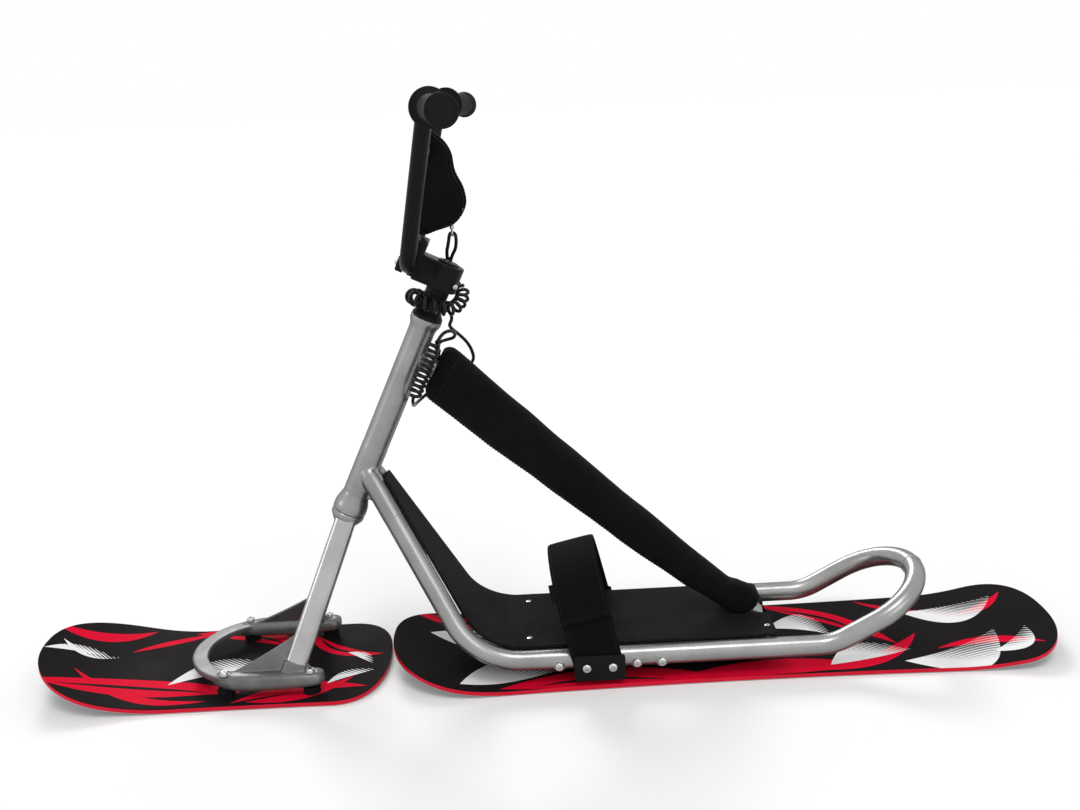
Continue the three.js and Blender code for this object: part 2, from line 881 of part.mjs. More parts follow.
function strapBand(line) {
  const band = sweep(line, () => cutCornerBox(strap.width, strap.thickness, strap.corner), ahead);
  band.rotateY(-degToRad(strap.lean));
  band.translate(strap.footX, 0, rail.z);
  return band;
}

function strapBoltHoles(side) {
  const radius = railBolt.shankRadius + fit.softGap;
  const length = strap.thickness + strapPlate.thickness + fit.overrun;
  return strapPlate.strapped.map((i) => railBoltRod(side, railBolt.positions[i], radius, length));
}

function buildFootStrap() {
  const inner = outerSide() + fit.softGap + strap.thickness / 2;
  const layer = strap.thickness + fit.softGap;
  const left = strapBand(archLine(-1, inner, inner - layer, strap.height, archShares.length - 3));
  addMesh(group, 'left_foot_strap', cut(solid(left), ...strapBoltHoles(-1)), paint.webbing);
  const right = strapBand(archLine(1, inner, inner + layer, strap.height + layer, 3));
  addMesh(group, 'right_foot_strap', cut(solid(right), ...strapBoltHoles(1)), paint.webbing);
}

function buildStrapPlates() {
  const from = outerSide() + 2 * fit.softGap + strap.thickness;
  const low = rail.z - strapPlate.drop - strapPlate.height / 2;
  const xs = strapPlate.strapped.map((i) => railBolt.positions[i]);
  const middle = (xs[0] + xs[1]) / 2;
  leftAndRight.forEach(([hand, side]) => {
    const ys = [side * from, side * (from + strapPlate.thickness)].sort((a, b) => a - b);
    const plate = block(
      point(middle - strapPlate.length / 2, ys[0], low),
      point(middle + strapPlate.length / 2, ys[1], low + strapPlate.height),
    );
    addMesh(group, `${hand}_strap_plate`, cut(solid(plate), ...strapBoltHoles(side)), paint.blackAlloy);
  });
}

// A round-headed bolt along Z, its head's underside at zero and its shank below
function domedBolt({ headRadius, headHeight, shankRadius, sides }, length) {
  const dome = domeShares.map(([out, up]) => [headRadius * out, headHeight * up]);
  return turned([[0, -length], [shankRadius, -length], [shankRadius, 0], ...dome], sides);
}

function buildRailBolts() {
  leftAndRight.forEach(([hand, side]) => {
    railBolt.positions.forEach((x, i) => {
      const strapped = strapPlate.strapped.includes(i);
      const stack = strapped ? strap.thickness + strapPlate.thickness + 2 * fit.softGap : 0;
      const length = stack + railBolt.reach - fit.gap;
      const bolt = domedBolt(railBolt, length);
      const mesh = addMesh(group, `${hand}_rail_bolt_${i + 1}`, bolt, paint.brightSteel);
      mesh.rotation.x = -side * Math.PI / 2;
      mesh.position.set(x, side * (outerSide() + stack + fit.gap), rail.z - railBolt.drop);
    });
  });
}

// Fork

function crownProfile(extra) {
  const { crownRadius, crownGap, crownHeight, neckRadius, neckLength } = fork;
  return [
    [0, -neckLength - extra],
    [neckRadius + extra, -neckLength - extra],
    [crownRadius + extra, -crownGap - crownHeight - extra],
    [crownRadius + extra, -crownGap + extra],
  ];
}

function buildForkCrown() {
  const top = stem.top - fit.gap;
  const profile = [
    ...crownProfile(0),
    [steerer.radius + headTube.clearance, -fork.crownGap],
    [steerer.radius, 0],
    [steerer.radius, top],
    [0, top],
  ];
  addMesh(columnGroup, 'fork_crown', turned(profile, column.sides), paint.satinAlloy);
}

function legAxis(side) {
  return [
    onColumn(0, side * fork.legSpread, -fork.legTopDepth),
    point(fork.footX, side * fork.footSpread, fork.footZ),
  ];
}

function legShape(side, extra) {
  const [top, foot] = legAxis(side);
  const shares = [0, fork.socketEndShare, fork.socketEndShare + fork.socketStepShare, 1];
  const line = shares.map((share) => top.clone().lerp(foot, share));
  return sweep(line, (_, i) => {
    const size = i < 2 ? fork.socketShare : 1;
    const width = fork.legLength * size + 2 * extra;
    return cutCornerBox(width, fork.legWidth * size + 2 * extra, fork.legCorner);
  }, ahead);
}

const podLow = () => board.thickness + frontDamper.height + 2 * fit.gap;
const podTop = () => podLow() + horseshoe.podHeight;
const podSeat = () => podLow() + horseshoe.podHeight * horseshoe.seatShare;

// One side rail of the horseshoe: a rounded bar with blunt ends
function podShape(side) {
  const { podFrontX, podRearX, podSpread, podHalfWidth, podHeight, podEndHeightShare } = horseshoe;
  const middle = podLow() + podHeight / 2;
  const rings = podShares.map(([along, size]) => {
    const x = podFrontX + (podRearX - podFrontX) * along;
    const high = (podHeight / 2) * (podEndHeightShare + (1 - podEndHeightShare) * size);
    return squaredOval(podHalfWidth * size, high, horseshoe.podSides, horseshoe.podSquareness)
      .map(([y, z]) => point(x, side * podSpread + y, middle + z));
  });
  return loft(rings);
}

function bandShape() {
  const { bandOuter, bandWidth, bandCentreX, bandThickness, bandDrop, bandTail, steps } = horseshoe;
  const inner = bandOuter - bandWidth;
  const shape = new THREE.Shape();
  shape.moveTo(bandTail, bandOuter);
  shape.lineTo(0, bandOuter);
  shape.absarc(0, 0, bandOuter, Math.PI / 2, Math.PI * 1.5, false);
  shape.lineTo(bandTail, -bandOuter);
  shape.lineTo(bandTail, -inner);
  shape.lineTo(0, -inner);
  shape.absarc(0, 0, inner, Math.PI * 1.5, Math.PI / 2, true);
  shape.lineTo(bandTail, inner);
  const options = { depth: bandThickness, bevelEnabled: false, curveSegments: steps / 2 };
  const band = new THREE.ExtrudeGeometry(shape, options);
  band.translate(bandCentreX, 0, podTop() - bandDrop - bandThickness);
  return band;
}

// The slanting webs before and behind each leg, drawn in the side view and leaned with the leg
function gussetShapes(side) {
  const { gussetFrontX, gussetTop, gussetSagShare, gussetThickness, webRearX, webTop, webSteps } = horseshoe;
  const [top, foot] = legAxis(side);
  const legAt = (z) => top.clone().lerp(foot, (top.z - z) / (top.z - foot.z));
  const base = podSeat();
  const outlines = [
    [[gussetFrontX, base], [legAt(gussetTop).x, gussetTop]],
    [[webRearX, base], [legAt(webTop).x, webTop]],
  ];
  const foldShare = (1 + gussetSagShare) / 2;
  return outlines.map(([low, high]) => {
    const shape = new THREE.Shape();
    const foldX = low[0] + (high[0] - low[0]) * foldShare;
    const foldZ = high[1] + (low[1] - high[1]) * foldShare;
    shape.moveTo(low[0], low[1]);
    shape.quadraticCurveTo(foldX, foldZ, high[0], high[1]);
    shape.lineTo(legAt(base).x, base);
    const options = { depth: gussetThickness, bevelEnabled: false, curveSegments: webSteps };
    const web = new THREE.ExtrudeGeometry(shape, options);
    web.rotateX(Math.PI / 2);
    web.translate(0, gussetThickness / 2, 0);
    const place = web.attributes.position;
    for (let i = 0; i < place.count; i += 1) {
      place.setY(i, place.getY(i) + legAt(place.getZ(i)).y);
    }
    return web;
  });
}

const frontBoltSpots = () => frontDamper.places.flatMap(([end, x, spread]) => (
  leftAndRight.map(([hand, side]) => ({ name: `${end}_${hand}`, x, y: side * spread }))
));

function buildHorseshoe() {
  const parts = leftAndRight.flatMap(([, side]) => [podShape(side), ...gussetShapes(side)]);
  const whole = join(bandShape(), ...parts);
  const legs = leftAndRight.map(([, side]) => legShape(side, fit.gap));
  const holes = frontBoltSpots().map(({ x, y }) => rod(
    point(x, y, board.thickness),
    point(x, y, podTop() + fit.overrun),
    damperBolt.shankRadius + damperBolt.clearance,
    damperBolt.sides,
  ));
  const shaped = whole.subtract(solid(legs[0])).subtract(solid(legs[1]));
  addMesh(group, 'horseshoe', cut(shaped, ...holes), paint.castAlloy);
}

function buildForkLegs() {
  leftAndRight.forEach(([hand, side]) => {
    const crown = turned([...crownProfile(fit.gap), [0, fit.gap - fork.crownGap]], column.sides);
    crown.applyMatrix4(columnGroup.matrix);
    const reach = fork.footSpread * 2;
    const below = block(point(fork.footX - reach, -reach, 0), point(fork.footX + reach, reach, podSeat()));
    const shape = cut(solid(legShape(side, 0)), crown, below);
    addMesh(group, `${hand}_fork_leg`, shape, paint.satinAlloy);
  });
}

function buildFrontDampers() {
  const low = board.thickness + fit.gap;
  const bore = damperBolt.shankRadius + damperBolt.clearance;
  frontBoltSpots().forEach(({ name, x, y }) => {
    const profile = ringProfile(bore, frontDamper.radius, low, low + frontDamper.height);
    const sleeve = turned(profile, frontDamper.sides);
    const ring = addMesh(group, `front_board_damper_${name}`, sleeve, paint.rubber);
    ring.position.set(x, y, 0);
    const shape = domedBolt(damperBolt, podTop() - board.thickness + board.insertDepth);
    const bolt = addMesh(group, `front_board_bolt_${name}`, shape, paint.brightSteel);
    bolt.position.set(x, y, podTop() + fit.gap);
  });
}

// Headset, stem and bars

function buildHeadset() {
  const base = headTube.length + fit.gap;
  const bore = steerer.radius + fit.gap;
  const cover = turned([
    [bore, base],
    [headset.coverRadius, base],
    [headset.coverRadius, base + headset.coverLip],
    [headset.spacerRadius, base + headset.coverHeight],
    [bore, base + headset.coverHeight],
    [bore, base],
  ], column.sides);
  addMesh(columnGroup, 'headset_cover', cover, paint.blackAlloy);
  const low = base + headset.coverHeight + fit.gap;
  const spacer = turned(ringProfile(bore, headset.spacerRadius, low, stem.base - fit.gap), column.sides);
  addMesh(columnGroup, 'headset_spacer', spacer, paint.blackAlloy);
}

function clampCylinder(radius, half) {
  const from = point(-bar.clampForward, -half, bar.clampHeight);
  const to = point(-bar.clampForward, half, bar.clampHeight);
  return rod(from, to, radius, stem.sides);
}

function buildStem() {
  const { base, top, clampRadius, halfWidth, neckHalfWidth, blockHeight, blockRear, faceThickness } = stem;
  const low = bar.clampHeight - blockHeight * stem.blockDropShare;
  const high = low + blockHeight;
  const splitX = -bar.clampForward - stem.splitGap / 2;
  const barrel = rod(point(0, 0, base), point(0, 0, top), clampRadius, stem.sides);
  const neck = block(point(-blockRear - fit.overrun, -neckHalfWidth, base), point(0, neckHalfWidth, top));
  const rearBlock = block(
    point(splitX + stem.splitGap, -halfWidth, low),
    point(-blockRear, halfWidth, high),
  );
  const steererHole = rod(
    point(0, 0, base - fit.overrun),
    point(0, 0, top + fit.overrun),
    steerer.radius + fit.gap,
    column.sides,
  );
  const slot = block(
    point(0, -stem.slot / 2, base - fit.overrun),
    point(clampRadius * 2, stem.slot / 2, top + fit.overrun),
  );
  const bolt = pinchBoltRod(pinchBolt.shankRadius + fit.gap);
  const head = rod(
    point(pinchBolt.back, -clampRadius - fit.overrun, base + pinchBolt.rise),
    point(pinchBolt.back, -pinchSeat(), base + pinchBolt.rise),
    pinchBolt.headRadius + fit.gap,
    pinchBolt.sides,
  );
  const barHole = clampCylinder(bar.radius + fit.gap, halfWidth + fit.overrun);
  const body = cut(join(barrel, neck, rearBlock), steererHole, slot, bolt, head, barHole);
  addMesh(columnGroup, 'stem', body, paint.blackAlloy);

  const face = block(point(splitX - faceThickness, -halfWidth, low), point(splitX, halfWidth, high));
  const notch = block(
    point(splitX - stem.notch, -halfWidth - fit.overrun, low - fit.overrun),
    point(splitX + fit.overrun, halfWidth + fit.overrun, low + stem.notch),
  );
  addMesh(columnGroup, 'stem_face_plate', cut(solid(face), notch, barHole), paint.blackAlloy);
}

const pinchSeat = () => stem.clampRadius * pinchBolt.seatShare;

const pinchBoltRod = (radius) => rod(
  point(pinchBolt.back, -pinchSeat(), stem.base + pinchBolt.rise),
  point(pinchBolt.back, pinchSeat(), stem.base + pinchBolt.rise),
  radius,
  pinchBolt.sides,
);

function buildPinchBolt() {
  const bolt = domedBolt(pinchBolt, 2 * pinchSeat() - fit.gap);
  const mesh = addMesh(columnGroup, 'stem_pinch_bolt', bolt, paint.brightSteel);
  mesh.rotation.x = Math.PI / 2;
  mesh.position.set(pinchBolt.back, -pinchSeat() - fit.gap, stem.base + pinchBolt.rise);
}

const barClamp = () => onColumn(-bar.clampForward, 0, bar.clampHeight);

function barCorners(side) {
  const middle = barClamp();
  const at = (back, spread, rise) => point(middle.x + back, side * spread, middle.z + rise);
  return [
    at(0, 0, 0),
    at(0, bar.lowerSpread, 0),
    at(bar.upperBack, bar.upperSpread, bar.upperRise),
    at(bar.upperBack + bar.endBack, bar.halfWidth, bar.upperRise - bar.endDrop),
  ];
}

function barEnd(side) {
  const corners = barCorners(side);
  return { tip: corners[3], outward: corners[3].clone().sub(corners[2]).normalize() };
}

const barPoint = (side, inset) => barEnd(side).tip.clone().addScaledVector(barEnd(side).outward, -inset);

function crossbarEnds() {
  const [, low, high] = barCorners(1);
  const right = low.clone().lerp(high, bar.crossRise / bar.upperRise);
  return [point(right.x, -right.y, right.z), right];
}

function buildBars() {
  const halves = leftAndRight.map(([, side]) => barCorners(side));
  const corners = [...halves[0].slice(1).reverse(), ...halves[1].slice(1)];
  const radii = [bar.upperBend, bar.lowerBend, bar.lowerBend, bar.upperBend];
  const line = bentLine(corners, radii, bar.bendSteps);
  const tube = sweep(line, () => circle(bar.radius, bar.sides), ahead);
  const crossbar = rod(...crossbarEnds(), bar.crossRadius, bar.crossSides);
  const sockets = leftAndRight.map(([, side]) => rod(
    barPoint(side, bar.socketDepth),
    barPoint(side, -fit.overrun),
    bar.socketRadius + fit.gap,
    bar.crossSides,
  ));
  addMesh(group, 'handlebar', cut(join(tube, crossbar), ...sockets), paint.blackAlloy);
}

function buildGrips() {
  const bore = bar.radius + grip.wall;
  const { length, radius, flangeRadius, flangeThickness, endRadius, endLength, endTaper } = grip;
  const gripProfile = [
    [bore, 0],
    [endRadius, 0],
    [endRadius, endLength],
    [radius, endLength + endTaper],
    [radius, length - flangeThickness * 2],
    [flangeRadius, length - flangeThickness],
    [flangeRadius, length],
    [bore, length],
    [bore, 0],
  ];
  const plugProfile = [
    [0, -barPlug.stemLength],
    [bar.socketRadius, -barPlug.stemLength],
    [bar.socketRadius, fit.gap],
    [barPlug.radius, fit.gap],
    [barPlug.radius, barPlug.thickness * barPlug.rimShare],
    [barPlug.radius * barPlug.faceShare, barPlug.thickness],
    [0, barPlug.thickness],
  ];
  leftAndRight.forEach(([hand, side]) => {
    const { tip, outward: out } = barEnd(side);
    const inwardTurn = new THREE.Quaternion().setFromUnitVectors(upward, out.clone().negate());
    const outwardTurn = new THREE.Quaternion().setFromUnitVectors(upward, out);
    const sleeve = addMesh(group, `${hand}_grip`, turned(gripProfile, bar.sides), paint.rubber);
    sleeve.quaternion.copy(inwardTurn);
    sleeve.position.copy(tip);
    const plug = addMesh(group, `${hand}_bar_plug`, turned(plugProfile, bar.sides), paint.blackAlloy);
    plug.quaternion.copy(outwardTurn);
    plug.position.copy(tip);
  });
}

// Leash: the cuff on the crossbar, its swivel, and the curly cord round the headset

function buildCuff() {
  const [, right] = crossbarEnds();
  const corner = point(right.x - cuff.forward, 0, right.z + cuff.rise - cuff.height);
  const outline = cuffOutlineShares.map(([x, z]) => point(x * cuff.depth, z * cuff.height, 0));
  const curve = new THREE.CatmullRomCurve3(outline, true);
  const spots = curve.getSpacedPoints(cuff.steps).slice(0, -1);
  const middle = spots.reduce((sum, spot) => sum.add(spot), point(0, 0, 0)).divideScalar(spots.length);
  const layers = [[0, 1], [cuff.bevel, 0], [cuff.width - cuff.bevel, 0], [cuff.width, 1]];
  const rings = layers.map(([y, drawn]) => spots.map((spot) => {
    const inward = middle.clone().sub(spot).normalize().multiplyScalar(drawn * cuff.bevel);
    const place = spot.clone().add(inward);
    return point(corner.x + place.x, cuff.centreY - cuff.width / 2 + y, corner.z + place.y);
  }));
  const hole = rod(
    point(right.x, cuff.centreY - cuff.width, right.z),
    point(right.x, cuff.centreY + cuff.width, right.z),
    bar.crossRadius + cuff.wall,
    bar.crossSides,
  );
  addMesh(group, 'leash_cuff', cut(solid(loft(rings)), hole, swivelCollar(fit.gap)), paint.webbing);
}

// The leash's routes: the loop's goes from the swivel's eye, the others in the column's own directions,
// which are back, right and up
const loopRoute = [
  [-9.6, 7.2, -38], [-9.8, 6.5, -32], [-9.2, 4.8, -25], [-7.7, 3.6, -19], [-5.6, 1.6, -10],
  [-4.6, 0.4, -5.2], [-3.2, 0, -1.4], [0, 0, 0.2], [3.2, 0, -1.4], [4.6, 0.4, -5.2],
  [4.8, 1.6, -10], [4.2, 3.2, -17], [2.4, 4.8, -24], [-1.4, 6.3, -31], [-4.6, 7.2, -38],
];
const upperRoute = [[3.1, 29.6, 388], [5, 30.6, 384.5], [11, 32.4, 381], [18, 32, 378]];
const upperCoilRoute = [
  [25.5, 28, 373], [32.5, 18.5, 366.5], [35.8, 7, 359.5], [34, -6, 352], [29, -17, 346], [19, -26, 342.5],
  [6, -30.5, 340.5], [-9, -29.5, 339], [-21, -21.5, 337.6], [-28.5, -9.5, 336.6], [-29.8, 5, 336],
  [-23, 19.5, 335.4], [-10, 28.5, 334.8], [4, 30, 334.2], [16, 26, 333.6], [25, 18.5, 332.6],
];
const upperEndRoute = [[31, 11, 329.6], [33.4, 6, 326], [33.8, 4.2, 323.8], [33.8, 4, 321.4]];
const lowerStartRoute = [
  [33.8, 4, 320.2], [33.8, 4, 317.8], [35.4, 5, 315], [40.5, 7, 312], [52, 12, 307.5],
  [66, 18, 300.5], [78, 26, 290], [86, 38, 275], [82, 46, 258], [68, 47, 238],
  [52, 42, 216], [40, 30, 198], [33, 12, 189], [30, -10, 190], [27, -30, 199],
];
const lowerCoilRoute = [[24.5, -38, 208], [24.5, -38.5, 240], [25, -38, 270], [26, -36.5, 297]];
const lowerEndRoute = [
  [30, -30, 310], [38, -20, 314.5], [45, -9, 311], [45.5, -1, 303], [38, 1, 296], [31, -1, 290],
  [29.4, -2, 282],
];
const coil = { upperPitch: 11.6, lowerPitch: 7.8 };

// Follows a route and winds round it between two lengths along it, easing the winding in and out
function cordLine(route, coilFrom, coilTo, pitch) {
  const curve = new THREE.CatmullRomCurve3(route, false, 'centripetal');
  const length = curve.getLength();
  const fine = Math.round(length);
  const frames = curve.computeFrenetFrames(fine, false);
  const line = [];
  let along = 0;
  while (along < length) {
    const share = along / length;
    const k = Math.min(fine, Math.round(share * fine));
    const inCoil = along > coilFrom && along < coilTo;
    const ease = Math.min(1, (along - coilFrom) / pitch, (coilTo - along) / pitch);
    const swing = inCoil ? cord.coilRadius * Math.max(0, ease) : 0;
    const turn = (2 * Math.PI * (along - coilFrom)) / pitch;
    const spot = curve.getPointAt(share);
    spot.addScaledVector(frames.normals[k], swing * Math.cos(turn));
    spot.addScaledVector(frames.binormals[k], swing * Math.sin(turn));
    line.push(spot);
    const lead = Math.max(coilFrom - along, pitch * cord.leadShare);
    along += inCoil ? pitch / cord.stepsPerCurl : Math.min(cord.plainStep, lead);
  }
  line.push(curve.getPointAt(1));
  return line;
}

const routePoints = (route) => route.map((place) => point(...place));

function routeLength(route) {
  return new THREE.CatmullRomCurve3(route, false, 'centripetal').getLength();
}

// Air between stretches of the cord that are not neighbours along it
function leastGap(line) {
  let least = Infinity;
  const away = line.map(() => 0);
  for (let i = 1; i < line.length; i += 1) {
    away[i] = away[i - 1] + line[i].distanceTo(line[i - 1]);
  }
  for (let i = 0; i < line.length; i += 1) {
    for (let j = i + 1; j < line.length; j += 1) {
      if (away[j] - away[i] > cord.neighbourReach) {
        least = Math.min(least, line[i].distanceTo(line[j]) - 2 * cord.radius);
      }
    }
  }
  return least;
}

function cordTube(line) {
  const turns = [];
  let across = sideways.clone();
  line.forEach((place, i) => {
    const back = line[Math.max(i - 1, 0)];
    const forth = line[Math.min(i + 1, line.length - 1)];
    const tangent = forth.clone().sub(back).normalize();
    across = across.clone().addScaledVector(tangent, -across.dot(tangent)).normalize();
    const over = tangent.clone().cross(across);
    turns.push(circle(cord.radius, cord.sides).map(([a, b]) => (
      place.clone().addScaledVector(across, a).addScaledVector(over, b)
    )));
  });
  return loft(turns);
}

function swivelEye() {
  const [, right] = crossbarEnds();
  return point(right.x + swivel.behind, cuff.centreY, right.z - swivel.drop);
}

const swivelCollar = (extra) => rod(
  swivelEye().addScaledVector(upward, swivel.eyeRadius - extra),
  swivelEye().addScaledVector(upward, swivel.eyeRadius + swivel.height + extra),
  swivel.radius + extra,
  swivel.sides,
);

function buildSwivel() {
  const { eyeRadius, wireRadius, sides } = swivel;
  const eye = new THREE.TorusGeometry(eyeRadius, wireRadius, sides - 2, sides);
  eye.rotateY(Math.PI / 2);
  const centre = swivelEye();
  eye.translate(centre.x, centre.y, centre.z);
  addMesh(group, 'leash_swivel', join(swivelCollar(0), eye), paint.brightSteel);
}

function buildLoop() {
  const intoColumn = columnGroup.matrix.clone().invert();
  const places = routePoints(loopRoute).map((place) => place.add(swivelEye()).applyMatrix4(intoColumn));
  const line = new THREE.CatmullRomCurve3(places).getPoints(places.length * 2);
  const top = places[0].clone().add(places[places.length - 1]).divideScalar(2);
  const foot = routePoints(upperRoute)[0];
  const sleeve = sweep(
    [top.addScaledVector(upward, cord.radius), foot.addScaledVector(upward, crimp.clearance)],
    () => squaredOval(crimp.halfWidth, crimp.halfDepth, swivel.sides, 2),
    ahead,
  );
  addMesh(columnGroup, 'leash_loop', join(cordTube(line), sleeve), paint.cordSheath);
}

function coiledLine(start, middle, end, pitch) {
  const from = routeLength([...start, middle[0]]);
  const to = routeLength([...start, ...middle]);
  return cordLine([...start, ...middle, ...end], from, to, pitch);
}

function buildLeash() {
  buildSwivel();
  buildLoop();
  const upperParts = [upperRoute, upperCoilRoute, upperEndRoute].map(routePoints);
  const upperLine = coiledLine(...upperParts, coil.upperPitch);
  addMesh(columnGroup, 'leash_upper', cordTube(upperLine), paint.cordSheath);

  const lowerParts = [lowerStartRoute, lowerCoilRoute, lowerEndRoute].map(routePoints);
  const lowerLine = coiledLine(...lowerParts, coil.lowerPitch);
  const end = lowerLine[lowerLine.length - 1].clone();
  const sleeve = rod(end.clone().addScaledVector(upward, -anchor.length), end, anchor.radius, swivel.sides);
  const tube = rod(topTubeStart(), topTubeFoot(), topTube.radius + fit.gap, topTube.sides);
  tube.applyMatrix4(columnGroup.matrix.clone().invert());
  addMesh(columnGroup, 'leash_lower', cut(join(cordTube(lowerLine), sleeve), tube), paint.cordSheath);

  console.log(`least gap of the leash to itself: upper ${leastGap(upperLine).toFixed(2)} mm, `
    + `lower ${leastGap(lowerLine).toFixed(2)} mm`);
}

buildBoard(
  'rear_board',
  rearBoard,
  rearDamperSpots().map(({ x, y }) => [x, y]),
  damper.studRadius + fit.gap,
);
buildBoard(
  'front_board',
  frontBoard,
  frontBoltSpots().map(({ x, y }) => [x, y]),
  damperBolt.shankRadius + damperBolt.clearance,
);
buildHeadTube();
buildBearings();
buildFrameTubes();
buildTopTube();
buildBridges();
buildRearDampers();
buildFrontPanel();
buildRearPanel();
buildPad();
buildFootStrap();
buildStrapPlates();
buildRailBolts();
buildForkCrown();
buildForkLegs();
buildHorseshoe();
buildFrontDampers();
buildHeadset();
buildStem();
buildPinchBolt();
buildBars();
buildGrips();
buildCuff();
buildLeash();

export default group;
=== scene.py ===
"""The looks of a snow scooter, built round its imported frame.

Sizes are in millimetres, and mm() or MM turns them to metres.
"""

import json
import math

import bmesh
import bpy
from mathutils import Matrix, Vector, noise
from mathutils.kdtree import KDTree


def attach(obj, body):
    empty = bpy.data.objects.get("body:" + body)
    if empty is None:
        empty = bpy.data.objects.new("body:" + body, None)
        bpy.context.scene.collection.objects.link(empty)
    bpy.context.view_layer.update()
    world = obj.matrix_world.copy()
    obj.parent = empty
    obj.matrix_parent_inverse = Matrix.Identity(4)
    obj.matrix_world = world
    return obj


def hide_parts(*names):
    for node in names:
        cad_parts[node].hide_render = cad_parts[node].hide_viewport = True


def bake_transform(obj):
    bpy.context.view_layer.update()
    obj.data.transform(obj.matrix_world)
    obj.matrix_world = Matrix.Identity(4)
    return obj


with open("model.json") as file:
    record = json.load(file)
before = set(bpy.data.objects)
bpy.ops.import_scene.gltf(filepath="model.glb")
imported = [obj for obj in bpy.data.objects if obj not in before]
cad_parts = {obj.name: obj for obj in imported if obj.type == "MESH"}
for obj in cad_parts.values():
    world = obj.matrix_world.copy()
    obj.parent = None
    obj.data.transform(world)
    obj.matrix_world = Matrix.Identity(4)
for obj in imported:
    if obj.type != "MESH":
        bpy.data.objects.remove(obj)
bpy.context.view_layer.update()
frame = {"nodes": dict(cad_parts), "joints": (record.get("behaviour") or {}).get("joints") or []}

MM = 0.001
AHEAD = Vector((1, 0, 0))
SIDE = Vector((0, 1, 0))
UP = Vector((0, 0, 1))
HANDS = (("left", -1), ("right", 1))

scene = bpy.context.scene
scene.view_settings.view_transform = "Standard"


def mm(x, y, z):
    """A place given in millimetres."""
    return Vector((x, y, z)) * MM


# The steering column's own directions, from the frame's joint

steering = frame["joints"][0]
column_foot = Vector(steering["pos_m"])
column_up = Vector(steering["axis"])
column_back = SIDE.cross(column_up)


def on_column(back, right, height):
    """A place on the column: back from its axis, to the right, and up along it."""
    return column_foot + (column_back * back + SIDE * right + column_up * height) * MM


# Camera

CAMERA_PLACE = mm(0.2, -1567.8, 841.1)
CAMERA_YAW, CAMERA_PITCH, CAMERA_ROLL = math.radians(0.68), math.radians(15.67), math.radians(-2.63)
CAMERA_LENS = 37.22


def make_camera():
    level = Vector((math.sin(CAMERA_YAW), math.cos(CAMERA_YAW), 0))
    right = Vector((math.cos(CAMERA_YAW), -math.sin(CAMERA_YAW), 0))
    look = level * math.cos(CAMERA_PITCH) - UP * math.sin(CAMERA_PITCH)
    up = level * math.sin(CAMERA_PITCH) + UP * math.cos(CAMERA_PITCH)
    rolled_right = right * math.cos(CAMERA_ROLL) + up * math.sin(CAMERA_ROLL)
    rolled_up = up * math.cos(CAMERA_ROLL) - right * math.sin(CAMERA_ROLL)
    data = bpy.data.cameras.new("camera")
    data.lens = CAMERA_LENS
    camera = bpy.data.objects.new("camera", data)
    turn = Matrix((rolled_right, rolled_up, -look)).transposed().to_4x4()
    camera.matrix_world = Matrix.Translation(CAMERA_PLACE) @ turn
    scene.collection.objects.link(camera)
    scene.camera = camera


# Shader tools

def add(tree, kind, settings=None, **inputs):
    """Adds a shader node. Each input is a value or another node's socket, and _ stands for a space."""
    node = tree.nodes.new("ShaderNode" + kind)
    for name, value in (settings or {}).items():
        setattr(node, name, value)
    for name, value in inputs.items():
        connect(tree, node.inputs[name.replace("_", " ")], value)
    return node


def connect(tree, socket, value):
    if isinstance(value, bpy.types.NodeSocket):
        tree.links.new(value, socket)
    else:
        socket.default_value = value


def calc(tree, operation, *values):
    """Adds a Math node and gives its result."""
    node = tree.nodes.new("ShaderNodeMath")
    node.operation = operation
    for socket, value in zip(node.inputs, values):
        connect(tree, socket, value)
    return node.outputs[0]


def vector_calc(tree, operation, *values):
    node = tree.nodes.new("ShaderNodeVectorMath")
    node.operation = operation
    for socket, value in zip(node.inputs, values):
        connect(tree, socket, value)
    return node


def blend_colours(tree, mask, first, second):
    node = tree.nodes.new("ShaderNodeMix")
    node.data_type = "RGBA"
    for socket, value in zip((node.inputs[0], node.inputs[6], node.inputs[7]), (mask, first, second)):
        connect(tree, socket, value)
    return node.outputs[2]


def start_group(name, inputs, outputs):
    tree = bpy.data.node_groups.new(name, "ShaderNodeTree")
    for label, value in inputs.items():
        is_vector = isinstance(value, tuple)
        kind = "NodeSocketVector" if is_vector else "NodeSocketFloat"
        tree.interface.new_socket(label, in_out="INPUT", socket_type=kind).default_value = value
    for label, kind in outputs.items():
        tree.interface.new_socket(label, in_out="OUTPUT", socket_type="NodeSocket" + kind)
    return tree, tree.nodes.new("NodeGroupInput").outputs, tree.nodes.new("NodeGroupOutput").inputs


def place(tree, group, **inputs):
    """Places a shader group in a material with its own values."""
    return add(tree, "Group", {"node_tree": group}, **inputs).outputs


def own_place(tree):
    """The place on the piece itself, in metres."""
    return add(tree, "TexCoord").outputs["Object"]


def cloth_place(tree):
    """The place along and round a lofted piece, in metres."""
    return add(tree, "Attribute", {"attribute_name": "grain"}).outputs["Vector"]


NOISE_LOW, NOISE_HIGH = 0.32, 0.68


def grain_group():
    """Fine unevenness: a mask, and a roughness between two values."""
    tree, given, result = start_group(
        "fine_grain",
        {"Place": (0.0, 0.0, 0.0), "Scale": 200.0, "Detail": 3.0, "Low": 0.3, "High": 0.5},
        {"Mask": "Float", "Roughness": "Float"},
    )
    grain = add(tree, "TexNoise", Vector=given["Place"], Scale=given["Scale"], Detail=given["Detail"])
    spread = add(tree, "MapRange", Value=grain.outputs[0], From_Min=NOISE_LOW, From_Max=NOISE_HIGH)
    connect(tree, result["Mask"], spread.outputs[0])
    rough = add(tree, "MapRange", Value=spread.outputs[0], To_Min=given["Low"], To_Max=given["High"])
    connect(tree, result["Roughness"], rough.outputs[0])
    return tree


